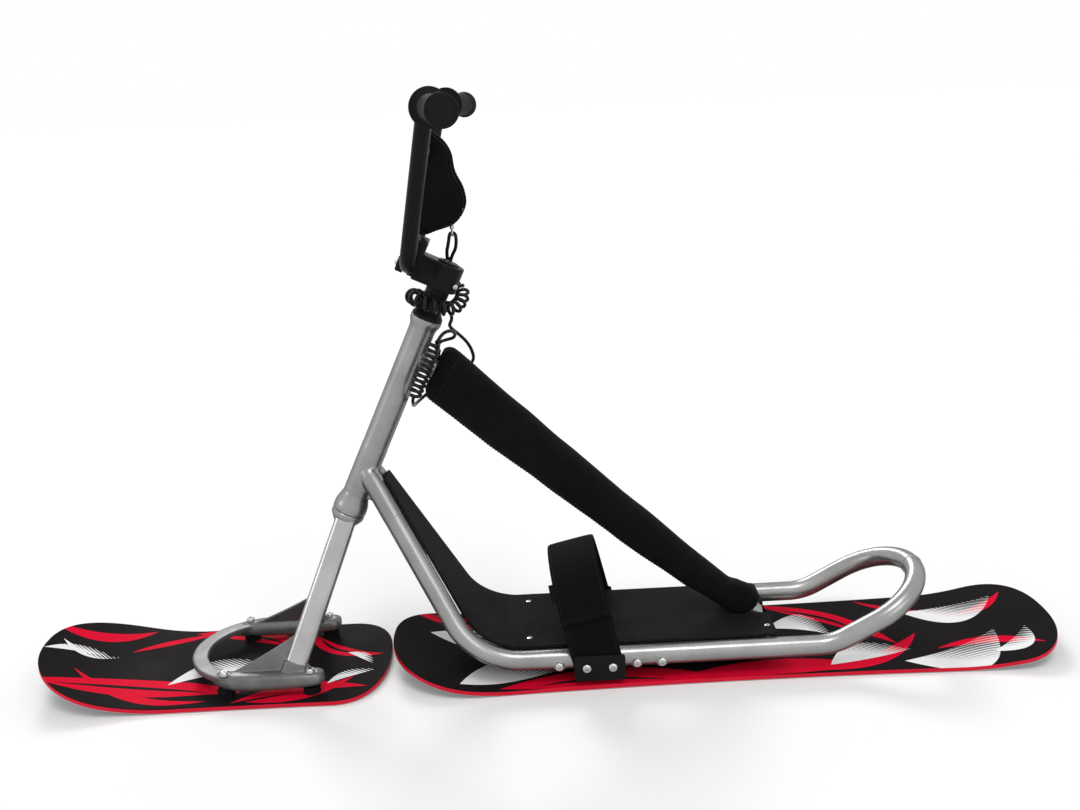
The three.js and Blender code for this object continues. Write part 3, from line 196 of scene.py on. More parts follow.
def weave_group():
    """Threads over and under each other, at a pitch in metres."""
    tree, given, result = start_group(
        "weave", {"Place": (0.0, 0.0, 0.0), "Pitch": 0.001}, {"Mask": "Float"}
    )
    split = add(tree, "SeparateXYZ", Vector=given["Place"])
    along = calc(tree, "DIVIDE", split.outputs[0], given["Pitch"])
    round_ = calc(tree, "DIVIDE", split.outputs[1], given["Pitch"])
    warp = calc(tree, "ABSOLUTE", calc(tree, "SINE", calc(tree, "MULTIPLY", along, math.pi)))
    weft = calc(tree, "ABSOLUTE", calc(tree, "SINE", calc(tree, "MULTIPLY", round_, math.pi)))
    cell = calc(tree, "ADD", calc(tree, "FLOOR", along), calc(tree, "FLOOR", round_))
    odd = calc(tree, "PINGPONG", cell, 1.0)
    flipped = calc(tree, "SUBTRACT", 1.0, odd)
    over = calc(tree, "ADD", calc(tree, "MULTIPLY", warp, odd), calc(tree, "MULTIPLY", weft, flipped))
    connect(tree, result["Mask"], over)
    return tree


def blade_group():
    """A curved stroke with two sharp ends: its mask, and how far along and across it a place is."""
    nowhere = (0.0, 0.0, 0.0)
    tree, given, result = start_group(
        "blade",
        {"Place": nowhere, "Start": nowhere, "Reach": (1.0, 0.0, 0.0), "Bow": 0.0, "Width": 10.0},
        {"Mask": "Float", "Along": "Float", "Across": "Float"},
    )
    length = vector_calc(tree, "LENGTH", given["Reach"]).outputs["Value"]
    heading = vector_calc(tree, "NORMALIZE", given["Reach"]).outputs[0]
    aside = vector_calc(tree, "CROSS_PRODUCT", (0.0, 0.0, 1.0), heading).outputs[0]
    away = vector_calc(tree, "SUBTRACT", given["Place"], given["Start"]).outputs[0]
    along = calc(tree, "DIVIDE", vector_calc(tree, "DOT_PRODUCT", away, heading).outputs["Value"], length)
    across = vector_calc(tree, "DOT_PRODUCT", away, aside).outputs["Value"]
    hump = calc(tree, "MULTIPLY", calc(tree, "MULTIPLY", along, calc(tree, "SUBTRACT", 1.0, along)), 4.0)
    middle = calc(tree, "MULTIPLY", hump, given["Bow"])
    off = calc(tree, "SUBTRACT", across, middle)
    half = calc(tree, "MULTIPLY", hump, given["Width"])
    inside = calc(tree, "SUBTRACT", half, calc(tree, "ABSOLUTE", off))
    connect(tree, result["Mask"], calc(tree, "GREATER_THAN", inside, 0.0))
    connect(tree, result["Along"], along)
    connect(tree, result["Across"], calc(tree, "DIVIDE", off, given["Width"]))
    return tree


def start_material(name, **values):
    material = bpy.data.materials.new(name)
    material.use_nodes = True
    tree = material.node_tree
    tree.nodes.clear()
    shader = add(tree, "BsdfPrincipled", **values)
    output = add(tree, "OutputMaterial")
    tree.links.new(shader.outputs[0], output.inputs[0])
    return material, tree, shader


def grey(level, warmth=0.0):
    return (level * (1 + warmth), level, level * (1 - warmth), 1.0)


def add_bump(tree, shader, height, distance, strength=1.0):
    bump = add(tree, "Bump", Strength=strength, Distance=distance, Height=height)
    connect(tree, shader.inputs["Normal"], bump.outputs[0])


WAVE_SCALE = 55.0


def grained(name, dark, light, low, high, scale, bump, cloudiness=14.0, waves=0.0, **values):
    """A finish with fine grain in its gloss and relief, slow clouds in its colour, and soft waves."""
    material, tree, shader = start_material(name, **values)
    here = own_place(tree)
    fine = place(tree, groups["grain"], Place=here, Scale=scale, Low=low, High=high)
    clouds = place(tree, groups["grain"], Place=here, Scale=cloudiness, Detail=5.0)
    connect(tree, shader.inputs["Base Color"], blend_colours(tree, clouds["Mask"], dark, light))
    connect(tree, shader.inputs["Roughness"], fine["Roughness"])
    height = fine["Mask"]
    if waves:
        swell = place(tree, groups["grain"], Place=here, Scale=WAVE_SCALE, Detail=2.0)
        height = calc(tree, "ADD", height, calc(tree, "MULTIPLY", swell["Mask"], waves))
    add_bump(tree, shader, height, bump)
    return material


DUST_SHARE = 0.35


def woven(name, dark, light, pitch, relief, rough, sheen):
    """A cloth finish: threads in colour and relief, dusty clouds, and a soft sheen."""
    material, tree, shader = start_material(
        name, Roughness=rough, Specular_IOR_Level=0.3, IOR=1.15, Sheen_Weight=sheen, Sheen_Roughness=0.5
    )
    threads = place(tree, groups["weave"], Place=cloth_place(tree), Pitch=pitch)
    clouds = place(tree, groups["grain"], Place=own_place(tree), Scale=22.0, Detail=6.0)
    thread_colour = blend_colours(tree, threads["Mask"], dark, light)
    dust = calc(tree, "MULTIPLY", clouds["Mask"], DUST_SHARE)
    dusty = blend_colours(tree, dust, thread_colour, light)
    connect(tree, shader.inputs["Base Color"], dusty)
    add_bump(tree, shader, threads["Mask"], relief)
    return material


# Board artwork: plain strokes, in millimetres on the board's flat. Each has a start, a reach, a bow and
# a half width

RED = (0.74, 0.002, 0.03, 1.0)
INK = (0.0105, 0.0085, 0.009, 1.0)
PAPER = (0.88, 0.88, 0.88, 1.0)

FRONT_RED = (
    ((-772, 60), (150, 52), -24, 13),
    ((-742, -96), (300, 12), 26, 24),
    ((-700, -40), (210, -64), -22, 9),
    ((-560, 112), (190, -66), 20, 20),
    ((-452, -114), (196, 30), 22, 13),
    ((-430, -112), (150, 60), -18, 12),
    ((-372, 104), (130, -92), -26, 13),
    ((-640, 36), (120, 76), 10, 7),
)
FRONT_SLITS = (
    ((-716, -92), (230, 8), 24, 4),
    ((-530, 104), (130, -46), 14, 4),
    ((-352, 82), (84, -62), -18, 3),
)
FRONT_WHITE = (
    ((-752, -14), (96, 22), 18, 9),
    ((-738, 26), (88, -10), -16, 7),
    ((-560, -52), (150, 44), 30, 22),
    ((-318, -70), (70, 34), 12, 10),
    ((-300, 24), (44, -40), 8, 8),
)
REAR_RED = (
    ((-206, 96), (210, 14), -14, 17),
    ((-60, -114), (330, 4), 18, 26),
    ((196, -110), (300, 12), 14, 22),
    ((356, 112), (190, -150), 22, 17),
    ((404, -104), (180, 96), -26, 14),
    ((520, 110), (150, -66), -12, 8),
    ((600, -60), (150, -30), 26, 10),
    ((654, 40), (96, 40), -14, 9),
)
REAR_SLITS = (
    ((-180, 98), (150, 8), -12, 4),
    ((-10, -112), (200, 2), 12, 4),
    ((386, 92), (120, -94), 16, 4),
)
REAR_WHITE = (
    ((-170, 40), (116, -52), 24, 30),
    ((-118, -104), (150, 40), 22, 32),
    ((210, 96), (120, 10), -24, 22),
    ((360, 30), (96, -30), 34, 26),
    ((430, -92), (130, 34), 20, 24),
    ((540, -92), (160, 70), -40, 34),
    ((584, 62), (150, 14), -26, 28),
    ((676, -84), (66, 50), -20, 16),
)
HATCH_PITCH, HATCH_SLANT, HATCH_LEAN = 5.2, (0.62, 0.78, 0.0), 0.35
HATCH_SHARES = dict(From_Min=0.35, From_Max=0.95, To_Min=1.0, To_Max=0.15)
PRINT_GLOSS = dict(Specular_IOR_Level=0.15, IOR=1.1)
SCUFF_SHARE = 0.006


def place_strokes(tree, spot, strokes):
    """Places a shader group for each stroke, and gives its outputs."""
    for (x, y), (dx, dy), bow, width in strokes:
        start, reach = (x, y, 0.0), (dx, dy, 0.0)
        sizes = dict(Bow=float(bow), Width=float(width))
        yield place(tree, groups["blade"], Place=spot, Start=start, Reach=reach, **sizes)


def stroke_mask(tree, spot, strokes):
    """One mask of many strokes."""
    mask = 0.0
    for stroke in place_strokes(tree, spot, strokes):
        mask = calc(tree, "MAXIMUM", mask, stroke["Mask"])
    return mask


def hatched_mask(tree, spot, strokes):
    """Broad strokes that are solid at their start and thin out into slanting lines."""
    slanting = vector_calc(tree, "DOT_PRODUCT", spot, HATCH_SLANT).outputs["Value"]
    tooth = calc(tree, "FRACT", calc(tree, "DIVIDE", slanting, HATCH_PITCH))
    mask = 0.0
    for stroke in place_strokes(tree, spot, strokes):
        lean = calc(tree, "ADD", stroke["Along"], calc(tree, "MULTIPLY", stroke["Across"], HATCH_LEAN))
        share = add(tree, "MapRange", Value=lean, **HATCH_SHARES)
        line = calc(tree, "LESS_THAN", tooth, share.outputs[0])
        mask = calc(tree, "MAXIMUM", mask, calc(tree, "MULTIPLY", stroke["Mask"], line))
    return mask


def board_top(name, red, slits, white):
    """A printed top sheet under clear gloss: black, with red strokes and white hatched ones."""
    material, tree, shader = start_material(name, **PRINT_GLOSS)
    here = own_place(tree)
    spot = vector_calc(tree, "MULTIPLY", here, (1 / MM, 1 / MM, 0.0)).outputs[0]
    red_mask = calc(tree, "SUBTRACT", stroke_mask(tree, spot, red), stroke_mask(tree, spot, slits))
    print_ = blend_colours(tree, calc(tree, "MAXIMUM", red_mask, 0.0), INK, RED)
    print_ = blend_colours(tree, hatched_mask(tree, spot, white), print_, PAPER)
    haze = place(tree, groups["grain"], Place=here, Scale=9.0, Detail=6.0, Low=0.38, High=0.55)
    scuffed = calc(tree, "MULTIPLY", haze["Mask"], SCUFF_SHARE)
    connect(tree, shader.inputs["Base Color"], blend_colours(tree, scuffed, print_, grey(0.5)))
    connect(tree, shader.inputs["Roughness"], haze["Roughness"])
    fine = place(tree, groups["grain"], Place=here, Scale=700.0)
    add_bump(tree, shader, fine["Mask"], 0.00002)
    return material


# The first is the grit level above which a grain gets a painted glint, a painted highlight in its colour.
PAINTED_GLINT_LEVEL, LINT_SHARE, FUZZ_SHARE = 0.93, 0.55, 0.6


def grip_tape():
    """Black deck covering with coarse grit, and a painted glint: a few grains coloured light to stand for
    sparkle.
    """
    material, tree, shader = start_material("grip_deck", Specular_IOR_Level=0.3, IOR=1.2)
    here = own_place(tree)
    grit = place(tree, groups["grain"], Place=here, Scale=1100.0, Detail=2.0, Low=0.72, High=0.98)
    worn = place(tree, groups["grain"], Place=here, Scale=12.0, Detail=6.0)
    # Painted highlight: grains above this level get a light base colour that stands in for glints.
    painted_glint = calc(tree, "GREATER_THAN", grit["Mask"], PAINTED_GLINT_LEVEL)
    base = blend_colours(tree, worn["Mask"], grey(0.006), grey(0.012))
    connect(tree, shader.inputs["Base Color"], blend_colours(tree, painted_glint, base, grey(0.09)))
    connect(tree, shader.inputs["Roughness"], grit["Roughness"])
    add_bump(tree, shader, grit["Mask"], 0.0004)
    return material


def padded_cloth():
    """The tight knit over the foam pads: fine loops, lint and a faint sheen."""
    material, tree, shader = start_material(
        "pad_foam", Roughness=0.93, Specular_IOR_Level=0.06, Sheen_Weight=0.02, Sheen_Roughness=0.4
    )
    here = own_place(tree)
    loops = place(tree, groups["weave"], Place=cloth_place(tree), Pitch=0.0011)
    fuzz = place(tree, groups["grain"], Place=here, Scale=420.0, Detail=5.0)
    worn = place(tree, groups["grain"], Place=here, Scale=16.0, Detail=7.0)
    base = blend_colours(tree, loops["Mask"], grey(0.0025), grey(0.0065))
    lint = calc(tree, "MULTIPLY", calc(tree, "MULTIPLY", fuzz["Mask"], worn["Mask"]), LINT_SHARE)
    connect(tree, shader.inputs["Base Color"], blend_colours(tree, lint, base, grey(0.016)))
    height = calc(tree, "ADD", loops["Mask"], calc(tree, "MULTIPLY", fuzz["Mask"], FUZZ_SHARE))
    add_bump(tree, shader, height, 0.00035)
    return material


groups = {"grain": grain_group(), "weave": weave_group(), "blade": blade_group()}

EDGE_TINT = (0.3, 0.3, 0.31, 1.0)
BRUSHED = dict(waves=9.0, Metallic=0.85, Specular_Tint=EDGE_TINT)
CAST = dict(cloudiness=34.0, waves=1.6, Metallic=0.45, Specular_IOR_Level=0.25, Specular_Tint=EDGE_TINT)
STEEL = dict(Metallic=1.0)
DULL, FAINT = dict(Specular_IOR_Level=0.1), dict(Specular_IOR_Level=0.2)

# For each finish: its dark and light colour, its least and most roughness, the grain's scale and relief,
# and the rest
GRAINED = {
    "satin_alloy": (grey(0.27, 0.012), grey(0.37, 0.005), 0.24, 0.34, 900.0, 0.000008, BRUSHED),
    "leg_alloy": (grey(0.4, 0.01), grey(0.5, 0.005), 0.17, 0.27, 900.0, 0.000008, BRUSHED),
    "cast_alloy": (grey(0.13, 0.01), grey(0.19, 0.005), 0.28, 0.4, 320.0, 0.00005, CAST),
    "black_alloy": (grey(0.0045), grey(0.008), 0.3, 0.44, 640.0, 0.00004, DULL),
    "bright_steel": (grey(0.42), grey(0.58), 0.14, 0.26, 300.0, 0.00002, STEEL),
    "bearing_steel": (grey(0.36), grey(0.5), 0.2, 0.32, 300.0, 0.00002, STEEL),
    "damper_rubber": (grey(0.004), grey(0.008), 0.6, 0.8, 500.0, 0.0001, DULL),
    "grip_rubber": (grey(0.004), grey(0.008), 0.46, 0.66, 800.0, 0.0001, DULL),
    "black_plastic": (grey(0.005), grey(0.009), 0.3, 0.44, 700.0, 0.00004, DULL),
    "cord_sheath": (grey(0.004), grey(0.008), 0.24, 0.36, 500.0, 0.00003, FAINT),
    "board_edge": ((0.62, 0.003, 0.026, 1), (0.74, 0.005, 0.036, 1), 0.35, 0.5, 300.0, 0.00004, FAINT),
    "board_base": (grey(0.012), grey(0.022), 0.35, 0.5, 90.0, 0.00005, {}),
    "thread": (grey(0.018), grey(0.034), 0.7, 0.9, 900.0, 0.0001, DULL),
}
finishes = {name: grained(name, *looks, **rest) for name, (*looks, rest) in GRAINED.items()}
finishes.update({
    "webbing": woven("webbing", grey(0.0025), grey(0.007), 0.0021, 0.0004, 0.86, 0.012),
    "binding": woven("binding", grey(0.004), grey(0.01), 0.0012, 0.0002, 0.8, 0.03),
    "grip_deck": grip_tape(),
    "pad_foam": padded_cloth(),
    "front_print": board_top("front_print", FRONT_RED, FRONT_SLITS, FRONT_WHITE),
    "rear_print": board_top("rear_print", REAR_RED, REAR_SLITS, REAR_WHITE),
})

# The record's slot of each finish that isn't a slot itself
SLOTS = {
    "leg_alloy": "satin_alloy",
    "board_edge": "board_laminate",
    "board_base": "board_laminate",
    "front_print": "board_laminate",
    "rear_print": "board_laminate",
    "thread": "webbing",
    "binding": "webbing",
}


# Mesh tools

WELD = 1e-6
LEAST_RADIUS = 0.0001


def new_object(name, mesh):
    piece = bpy.data.objects.new(name, mesh)
    scene.collection.objects.link(piece)
    return piece


def clean_up(mesh, weld=WELD):
    work = bmesh.new()
    work.from_mesh(mesh)
    bmesh.ops.remove_doubles(work, verts=work.verts, dist=weld)
    bmesh.ops.dissolve_degenerate(work, edges=work.edges, dist=weld)
    bmesh.ops.recalc_face_normals(work, faces=work.faces)
    work.to_mesh(mesh)
    work.free()


def loft(name, rings, ring_closed=True, line_closed=False):
    """A skin over rings of equal count, with flat ends. It keeps where each corner lies on it."""
    count = len(rings[0])
    vertices = [corner for ring in rings for corner in ring]
    spans = len(rings) if line_closed else len(rings) - 1
    middles = [sum(ring, Vector()) / count for ring in rings]
    along = [0.0]
    for one, other in zip(middles, middles[1:] + middles[:1]):
        along.append(along[-1] + (other - one).length)
    middle_ring = rings[len(rings) // 2]
    around = [0.0]
    for one, other in zip(middle_ring, middle_ring[1:] + middle_ring[:1]):
        around.append(around[-1] + (other - one).length)
    faces, grain = [], []
    for r in range(spans):
        near, far = r * count, ((r + 1) % len(rings)) * count
        for i in range(count if ring_closed else count - 1):
            j = (i + 1) % count
            faces.append((near + i, near + j, far + j, far + i))
            grain += [along[r], around[i], 0, along[r], around[i + 1], 0]
            grain += [along[r + 1], around[i + 1], 0, along[r + 1], around[i], 0]
    if ring_closed and not line_closed:
        for ring_start in (0, len(vertices) - count):
            faces.append(tuple(range(ring_start, ring_start + count)))
            for i in range(count):
                grain += [around[i], 0.0, 0.0]
    mesh = bpy.data.meshes.new(name)
    mesh.from_pydata(vertices, [], faces)
    mesh.attributes.new("grain", "FLOAT_VECTOR", "CORNER").data.foreach_set("vector", grain)
    clean_up(mesh)
    return new_object(name, mesh)


def ring_frames(line, hold=None, closed=False):
    """A direction across and one over at each point of a line, held near a direction or carried along."""
    frames = []
    carried = hold or (UP if abs((line[1] - line[0]).normalized().z) < 0.9 else AHEAD)
    last = len(line) - 1
    for i, spot in enumerate(line):
        before = line[i - 1] if i or closed else spot
        after = line[(i + 1) % len(line)] if i < last or closed else spot
        into = (spot - before).normalized()
        out = (after - spot).normalized()
        tangent = (into + out).normalized()
        across = (carried - tangent * carried.dot(tangent)).normalized()
        if hold is None:
            carried = across
        frames.append((spot, across, tangent.cross(across)))
    return frames


def sweep(name, line, profile_at, hold=None, closed=False):
    """Carries a profile, given in millimetres, along a line."""
    rings = []
    for i, (spot, across, over) in enumerate(ring_frames(line, hold, closed)):
        rings.append([spot + (across * a + over * b) * MM for a, b in profile_at(i)])
    return loft(name, rings, line_closed=closed)


def circle(radius, sides):
    turns = [2 * math.pi * k / sides for k in range(sides)]
    return [(radius * math.cos(turn), radius * math.sin(turn)) for turn in turns]


def quarter(steps):
    """Angles over a quarter of a turn."""
    return [math.pi / 2 * k / steps for k in range(steps + 1)]


def half_turn(steps):
    return [math.pi * k / steps for k in range(steps + 1)]


def squared_oval(half_width, half_height, sides, squareness):
    points = []
    for c, s in circle(1, sides):
        wide = math.copysign(abs(c) ** (2 / squareness), c)
        high = math.copysign(abs(s) ** (2 / squareness), s)
        points.append((half_width * wide, half_height * high))
    return points


def round_box(width, height, corner, steps=4):
    """A rectangle with round corners, centred."""
    points = []
    for cx, cy, first in ((1, 1, 0), (-1, 1, 90), (-1, -1, 180), (1, -1, 270)):
        for k in range(steps + 1):
            turn = math.radians(first + 90 * k / steps)
            x = cx * (width / 2 - corner) + corner * math.cos(turn)
            y = cy * (height / 2 - corner) + corner * math.sin(turn)
            points.append((x, y))
    return points


def tube(name, line, radius, sides=40):
    return sweep(name, line, lambda _: circle(radius, sides))


def turned(name, profile, base, direction, sides=48):
    """A turned piece: its profile is a list of radius and height, along a direction from its base."""
    line = [base + direction * height * MM for _, height in profile]
    across = (AHEAD - direction * AHEAD.dot(direction)).normalized() if abs(direction.x) < 0.9 else SIDE
    over = direction.cross(across)
    rings = [
        [spot + (across * a + over * b) * MM for a, b in circle(max(radius, LEAST_RADIUS), sides)]
        for spot, (radius, _) in zip(line, profile)
    ]
    closed = profile[0] == profile[-1]
    return loft(name, rings[:-1] if closed else rings, line_closed=closed)


def hex_key(spot, direction, radius, depth):
    """The six-sided socket of a screw, sunk from its top."""
    return turned("key", [(radius, -depth), (radius, 4)], spot, direction, 6)


def slab(name, outline, low, high):
    """A flat piece with a drawn outline, between two heights."""
    mesh = bpy.data.meshes.new(name)
    count = len(outline)
    vertices = [mm(x, y, low) for x, y in outline] + [mm(x, y, high) for x, y in outline]
    faces = [tuple(reversed(range(count))), tuple(range(count, 2 * count))]
    faces += [(i, (i + 1) % count, count + (i + 1) % count, count + i) for i in range(count)]
    mesh.from_pydata(vertices, [], faces)
    clean_up(mesh)
    return new_object(name, mesh)


def box(name, low, high):
    corners = [Vector((x, y, z)) for x in (low.x, high.x) for y in (low.y, high.y) for z in (low.z, high.z)]
    faces = [(0, 1, 3, 2), (4, 6, 7, 5), (0, 4, 5, 1), (2, 3, 7, 6), (0, 2, 6, 4), (1, 5, 7, 3)]
    mesh = bpy.data.meshes.new(name)
    mesh.from_pydata(corners, [], faces)
    clean_up(mesh)
    return new_object(name, mesh)


def column_box(name, low, high):
    """A box along the column's own directions, its corners given as back, right and height."""
    piece = box(name, Vector(low) * MM, Vector(high) * MM)
    turn = Matrix((column_back, SIDE, column_up)).transposed().to_4x4()
    piece.data.transform(Matrix.Translation(column_foot) @ turn)
    return piece


def column_rod(name, start, end, radius, sides=40):
    """A plain rod between two places on the column."""
    one, other = on_column(*start), on_column(*end)
    direction = (other - one).normalized()
    return turned(name, [(radius, 0), (radius, (other - one).length / MM)], one, direction, sides)


def apply_modifiers(piece):
    graph = bpy.context.evaluated_depsgraph_get()
    mesh = bpy.data.meshes.new_from_object(piece.evaluated_get(graph))
    piece.modifiers.clear()
    piece.data = mesh


def combine(piece, others, operation):
    for other in others:
        modifier = piece.modifiers.new("combine", "BOOLEAN")
        modifier.operation = operation
        modifier.solver = "EXACT"
        modifier.object = other
        apply_modifiers(piece)
        bpy.data.objects.remove(other)
    return piece


def carve(piece, *others):
    return combine(piece, others, "DIFFERENCE")


def fuse(piece, *others):
    return combine(piece, others, "UNION")


def round_edges(piece, width, segments=3, angle=35):
    """Rounds the edges that turn by more than an angle in degrees."""
    modifier = piece.modifiers.new("edges", "BEVEL")
    modifier.width = width * MM
    modifier.segments = segments
    modifier.limit_method = "ANGLE"
    modifier.angle_limit = math.radians(angle)
    modifier.harden_normals = False
    apply_modifiers(piece)
    return piece


def melt(piece, others, voxel, passes):
    """Turns overlapping solids into one casting with soft inner corners."""
    work = bmesh.new()
    work.from_mesh(piece.data)
    for other in others:
        work.from_mesh(other.data)
        bpy.data.objects.remove(other)
    work.to_mesh(piece.data)
    work.free()
    remesh = piece.modifiers.new("melt", "REMESH")
    remesh.mode = "VOXEL"
    remesh.voxel_size = voxel * MM
    smooth = piece.modifiers.new("smooth", "SMOOTH")
    smooth.factor = 0.5
    smooth.iterations = passes
    apply_modifiers(piece)
    return piece


END_FACING = 0.7


def lay_grain(piece, origin, axis, radius):
    """Notes where each corner lies along an axis and round it, for the cloth's threads."""
    mesh = piece.data
    if "grain" in mesh.attributes:
        mesh.attributes.remove(mesh.attributes["grain"])
    over = axis.orthogonal().normalized()
    side = axis.cross(over)
    grain = []
    for face in mesh.polygons:
        middle = face.center - origin
        face_turn = math.atan2(middle.dot(side), middle.dot(over))
        facing = abs(face.normal.dot(axis)) > END_FACING
        for index in face.vertices:
            away = mesh.vertices[index].co - origin
            turn = math.atan2(away.dot(side), away.dot(over))
            turn += 2 * math.pi * round((face_turn - turn) / (2 * math.pi))
            on_end = [away.dot(over), away.dot(side), 0]
            grain += on_end if facing else [away.dot(axis), turn * radius * MM, 0]
    mesh.attributes.new("grain", "FLOAT_VECTOR", "CORNER").data.foreach_set("vector", grain)


CLOTH_FRAMES, CLOTH_QUALITY = 20, 6
PAD_CLOTH = dict(voxel=5, pressure=4, cap=4, reach=4.2)
CUFF_CLOTH = dict(voxel=4, pressure=4, cap=4.5, reach=4)


def plump(piece, voxel, pressure, cap, sewn, reach):
    """Swells a padded piece as cloth does over its filling, held where it is sewn."""
    remesh = piece.modifiers.new("even", "REMESH")
    remesh.mode = "VOXEL"
    remesh.voxel_size = voxel * MM
    apply_modifiers(piece)
    seams = KDTree(len(sewn))
    for i, spot in enumerate(sewn):
        seams.insert(spot, i)
    seams.balance()
    held = piece.vertex_groups.new(name="held")
    before = [vertex.co.copy() for vertex in piece.data.vertices]
    for i, spot in enumerate(before):
        if seams.find(spot)[2] < reach * MM:
            held.add([i], 1.0, "REPLACE")
    cloth = piece.modifiers.new("plump", "CLOTH")
    cloth.settings.quality = CLOTH_QUALITY
    cloth.settings.use_pressure = True
    cloth.settings.uniform_pressure_force = pressure
    cloth.settings.vertex_group_mass = held.name
    cloth.settings.effector_weights.gravity = 0
    cloth.collision_settings.use_collision = False
    for step in range(CLOTH_FRAMES):
        scene.frame_set(step + 1)
    graph = bpy.context.evaluated_depsgraph_get()
    swollen = [vertex.co.copy() for vertex in piece.evaluated_get(graph).data.vertices]
    piece.modifiers.clear()
    scene.frame_set(1)
    for vertex, start, end in zip(piece.data.vertices, before, swollen):
        move = end - start
        vertex.co = start + move * min(1.0, cap * MM / max(move.length, 1e-9))
    smooth = piece.modifiers.new("round", "SUBSURF")
    smooth.levels = 1
    apply_modifiers(piece)


def slice_off(piece, spot, towards):
    """Cuts away what lies beyond a plane and closes the cut."""
    work = bmesh.new()
    work.from_mesh(piece.data)
    everything = work.verts[:] + work.edges[:] + work.faces[:]
    plane = dict(plane_co=spot, plane_no=towards, clear_outer=True)
    cut = bmesh.ops.bisect_plane(work, geom=everything, **plane)
    rim = [item for item in cut["geom_cut"] if isinstance(item, bmesh.types.BMEdge)]
    bmesh.ops.edgeloop_fill(work, edges=rim)
    bmesh.ops.recalc_face_normals(work, faces=work.faces)
    work.to_mesh(piece.data)
    work.free()
    return piece


def finish_piece(piece, body, finish, *nodes, sharp=38):
    """Gives a piece its finish, its shading and its body, and hides the frame's nodes that it stands for."""
    if not piece.data.materials:
        piece.data.materials.append(finishes[finish])
    piece.data.shade_smooth()
    piece.data.set_sharp_from_angle(angle=math.radians(sharp))
    if body:
        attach(piece, body)
    SLOTS.get(finish, finish)
    if nodes:
        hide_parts(*nodes)
    return piece


def turned_piece(
    name, profile, body, finish, *nodes, base=column_foot, direction=column_up, sides=48, sharp=38,
):
    """A finished turned piece, on the column unless it is given another place."""
    return finish_piece(turned(name, profile, base, direction, sides), body, finish, *nodes, sharp=sharp)


def catmull_rom(points, per_span, closed=False):
    """The places along a centripetal curve through points."""
    spots = []
    count = len(points)
    for i in range(count if closed else count - 1):
        p1, p2 = points[i], points[(i + 1) % count]
        p0 = points[i - 1] if i or closed else p1 * 2 - p2
        p3 = points[(i + 2) % count] if i + 2 < count or closed else p2 * 2 - p1
        d0, d1, d2 = (math.sqrt((b - a).length) for a, b in ((p0, p1), (p1, p2), (p2, p3)))
        t1 = ((p1 - p0) / d0 - (p2 - p0) / (d0 + d1) + (p2 - p1) / d1) * d1
        t2 = ((p2 - p1) / d1 - (p3 - p1) / (d1 + d2) + (p3 - p2) / d2) * d1
        for k in range(per_span):
            t = k / per_span
            bend = (p2 - p1) * 3 - t1 * 2 - t2
            twist = (p1 - p2) * 2 + t1 + t2
            spots.append(p1 + t1 * t + bend * t * t + twist * t ** 3)
    if not closed:
        spots.append(points[-1].copy())
    return spots


def lengths_along(line):
    total = [0.0]
    for one, other in zip(line, line[1:]):
        total.append(total[-1] + (other - one).length)
    return total


def spot_at(line, lengths, distance):
    """The place at a distance along a line."""
    low, high = 0, len(lengths) - 1
    while high - low > 1:
        middle = (low + high) // 2
        if lengths[middle] > distance:
            high = middle
        else:
            low = middle
    span = lengths[high] - lengths[low]
    return line[low].lerp(line[high], min(1.0, max(0.0, (distance - lengths[low]) / span)))


def bent_line(corners, radii, steps):
    """Straight runs joined by round bends: one radius, in millimetres, for each inner corner."""
    line = [corners[0]]
    for radius, before, corner, after in zip(radii, corners, corners[1:], corners[2:]):
        back = (before - corner).normalized()
        forth = (after - corner).normalized()
        half = back.angle(forth) / 2
        reach = radius * MM / math.tan(half)
        centre = corner + (back + forth).normalized() * (radius * MM / math.sin(half))
        start = corner + back * reach - centre
        end = corner + forth * reach - centre
        turn = start.angle(end)
        for k in range(steps + 1):
            share = k / steps
            line.append(
                centre
                + start * (math.sin((1 - share) * turn) / math.sin(turn))
                + end * (math.sin(share * turn) / math.sin(turn))
            )
    line.append(corners[-1])
    return line


# Sizes that the frame's pieces share

BOARD_THICKNESS = 7.0
RAIL_RADIUS, RAIL_TRACK, RAIL_Z = 15.0, 93.0, 40.5
DECK_UNDER, DECK_THICKNESS = 55.8, 5.0
DECK_TOP = DECK_UNDER + DECK_THICKNESS
HEAD_TUBE_RADIUS, HEAD_TUBE_LENGTH = 19.2, 315.0
TOP_TUBE_RADIUS, TOP_TUBE_HEAD = 14.0, 262.0
GAP = 0.3


# Leash: a curly cord round the headset, a loop, and a swivel. Its routes are in the column's own frame.

CORD_RADIUS, COIL_RADIUS = 2.5, 8.5
UPPER_PITCH, LOWER_PITCH = 11.6, 7.8
STEPS_PER_CURL = 16
SWIVEL_BEHIND, SWIVEL_DROP = 27.15, 116.0
CORD_SIDES = 12
STRAIGHT_STEP, LEAST_STEP = 2.0, 1.0
EYE_RADIUS, EYE_WIRE = 4.7, 1.3
CRIMP_HALVES, CRIMP_OVER_CORD = (5.2, 3.6), 1.4
ANCHOR_HALVES, ANCHOR_RISE, ANCHOR_DROP = (3.8, 3.8), 2, 20
BLEND_FROM, BLEND_TO = 313, 334
SLEEVE_SHARES = (
    (0, 0.7), (0.05, 0.95), (0.2, 1), (0.3, 0.9), (0.4, 1), (0.5, 0.9), (0.6, 1), (0.7, 0.9), (0.8, 1),
    (0.95, 0.95), (1, 0.7),
)
SWIVEL_PROFILE = (
    (0, 0), (2.2, 0), (3.2, 1), (3.2, 4), (2.4, 4.6), (2.4, 5.4), (3.2, 6), (3.2, 11), (2.2, 12.3),
    (0, 12.3),
)

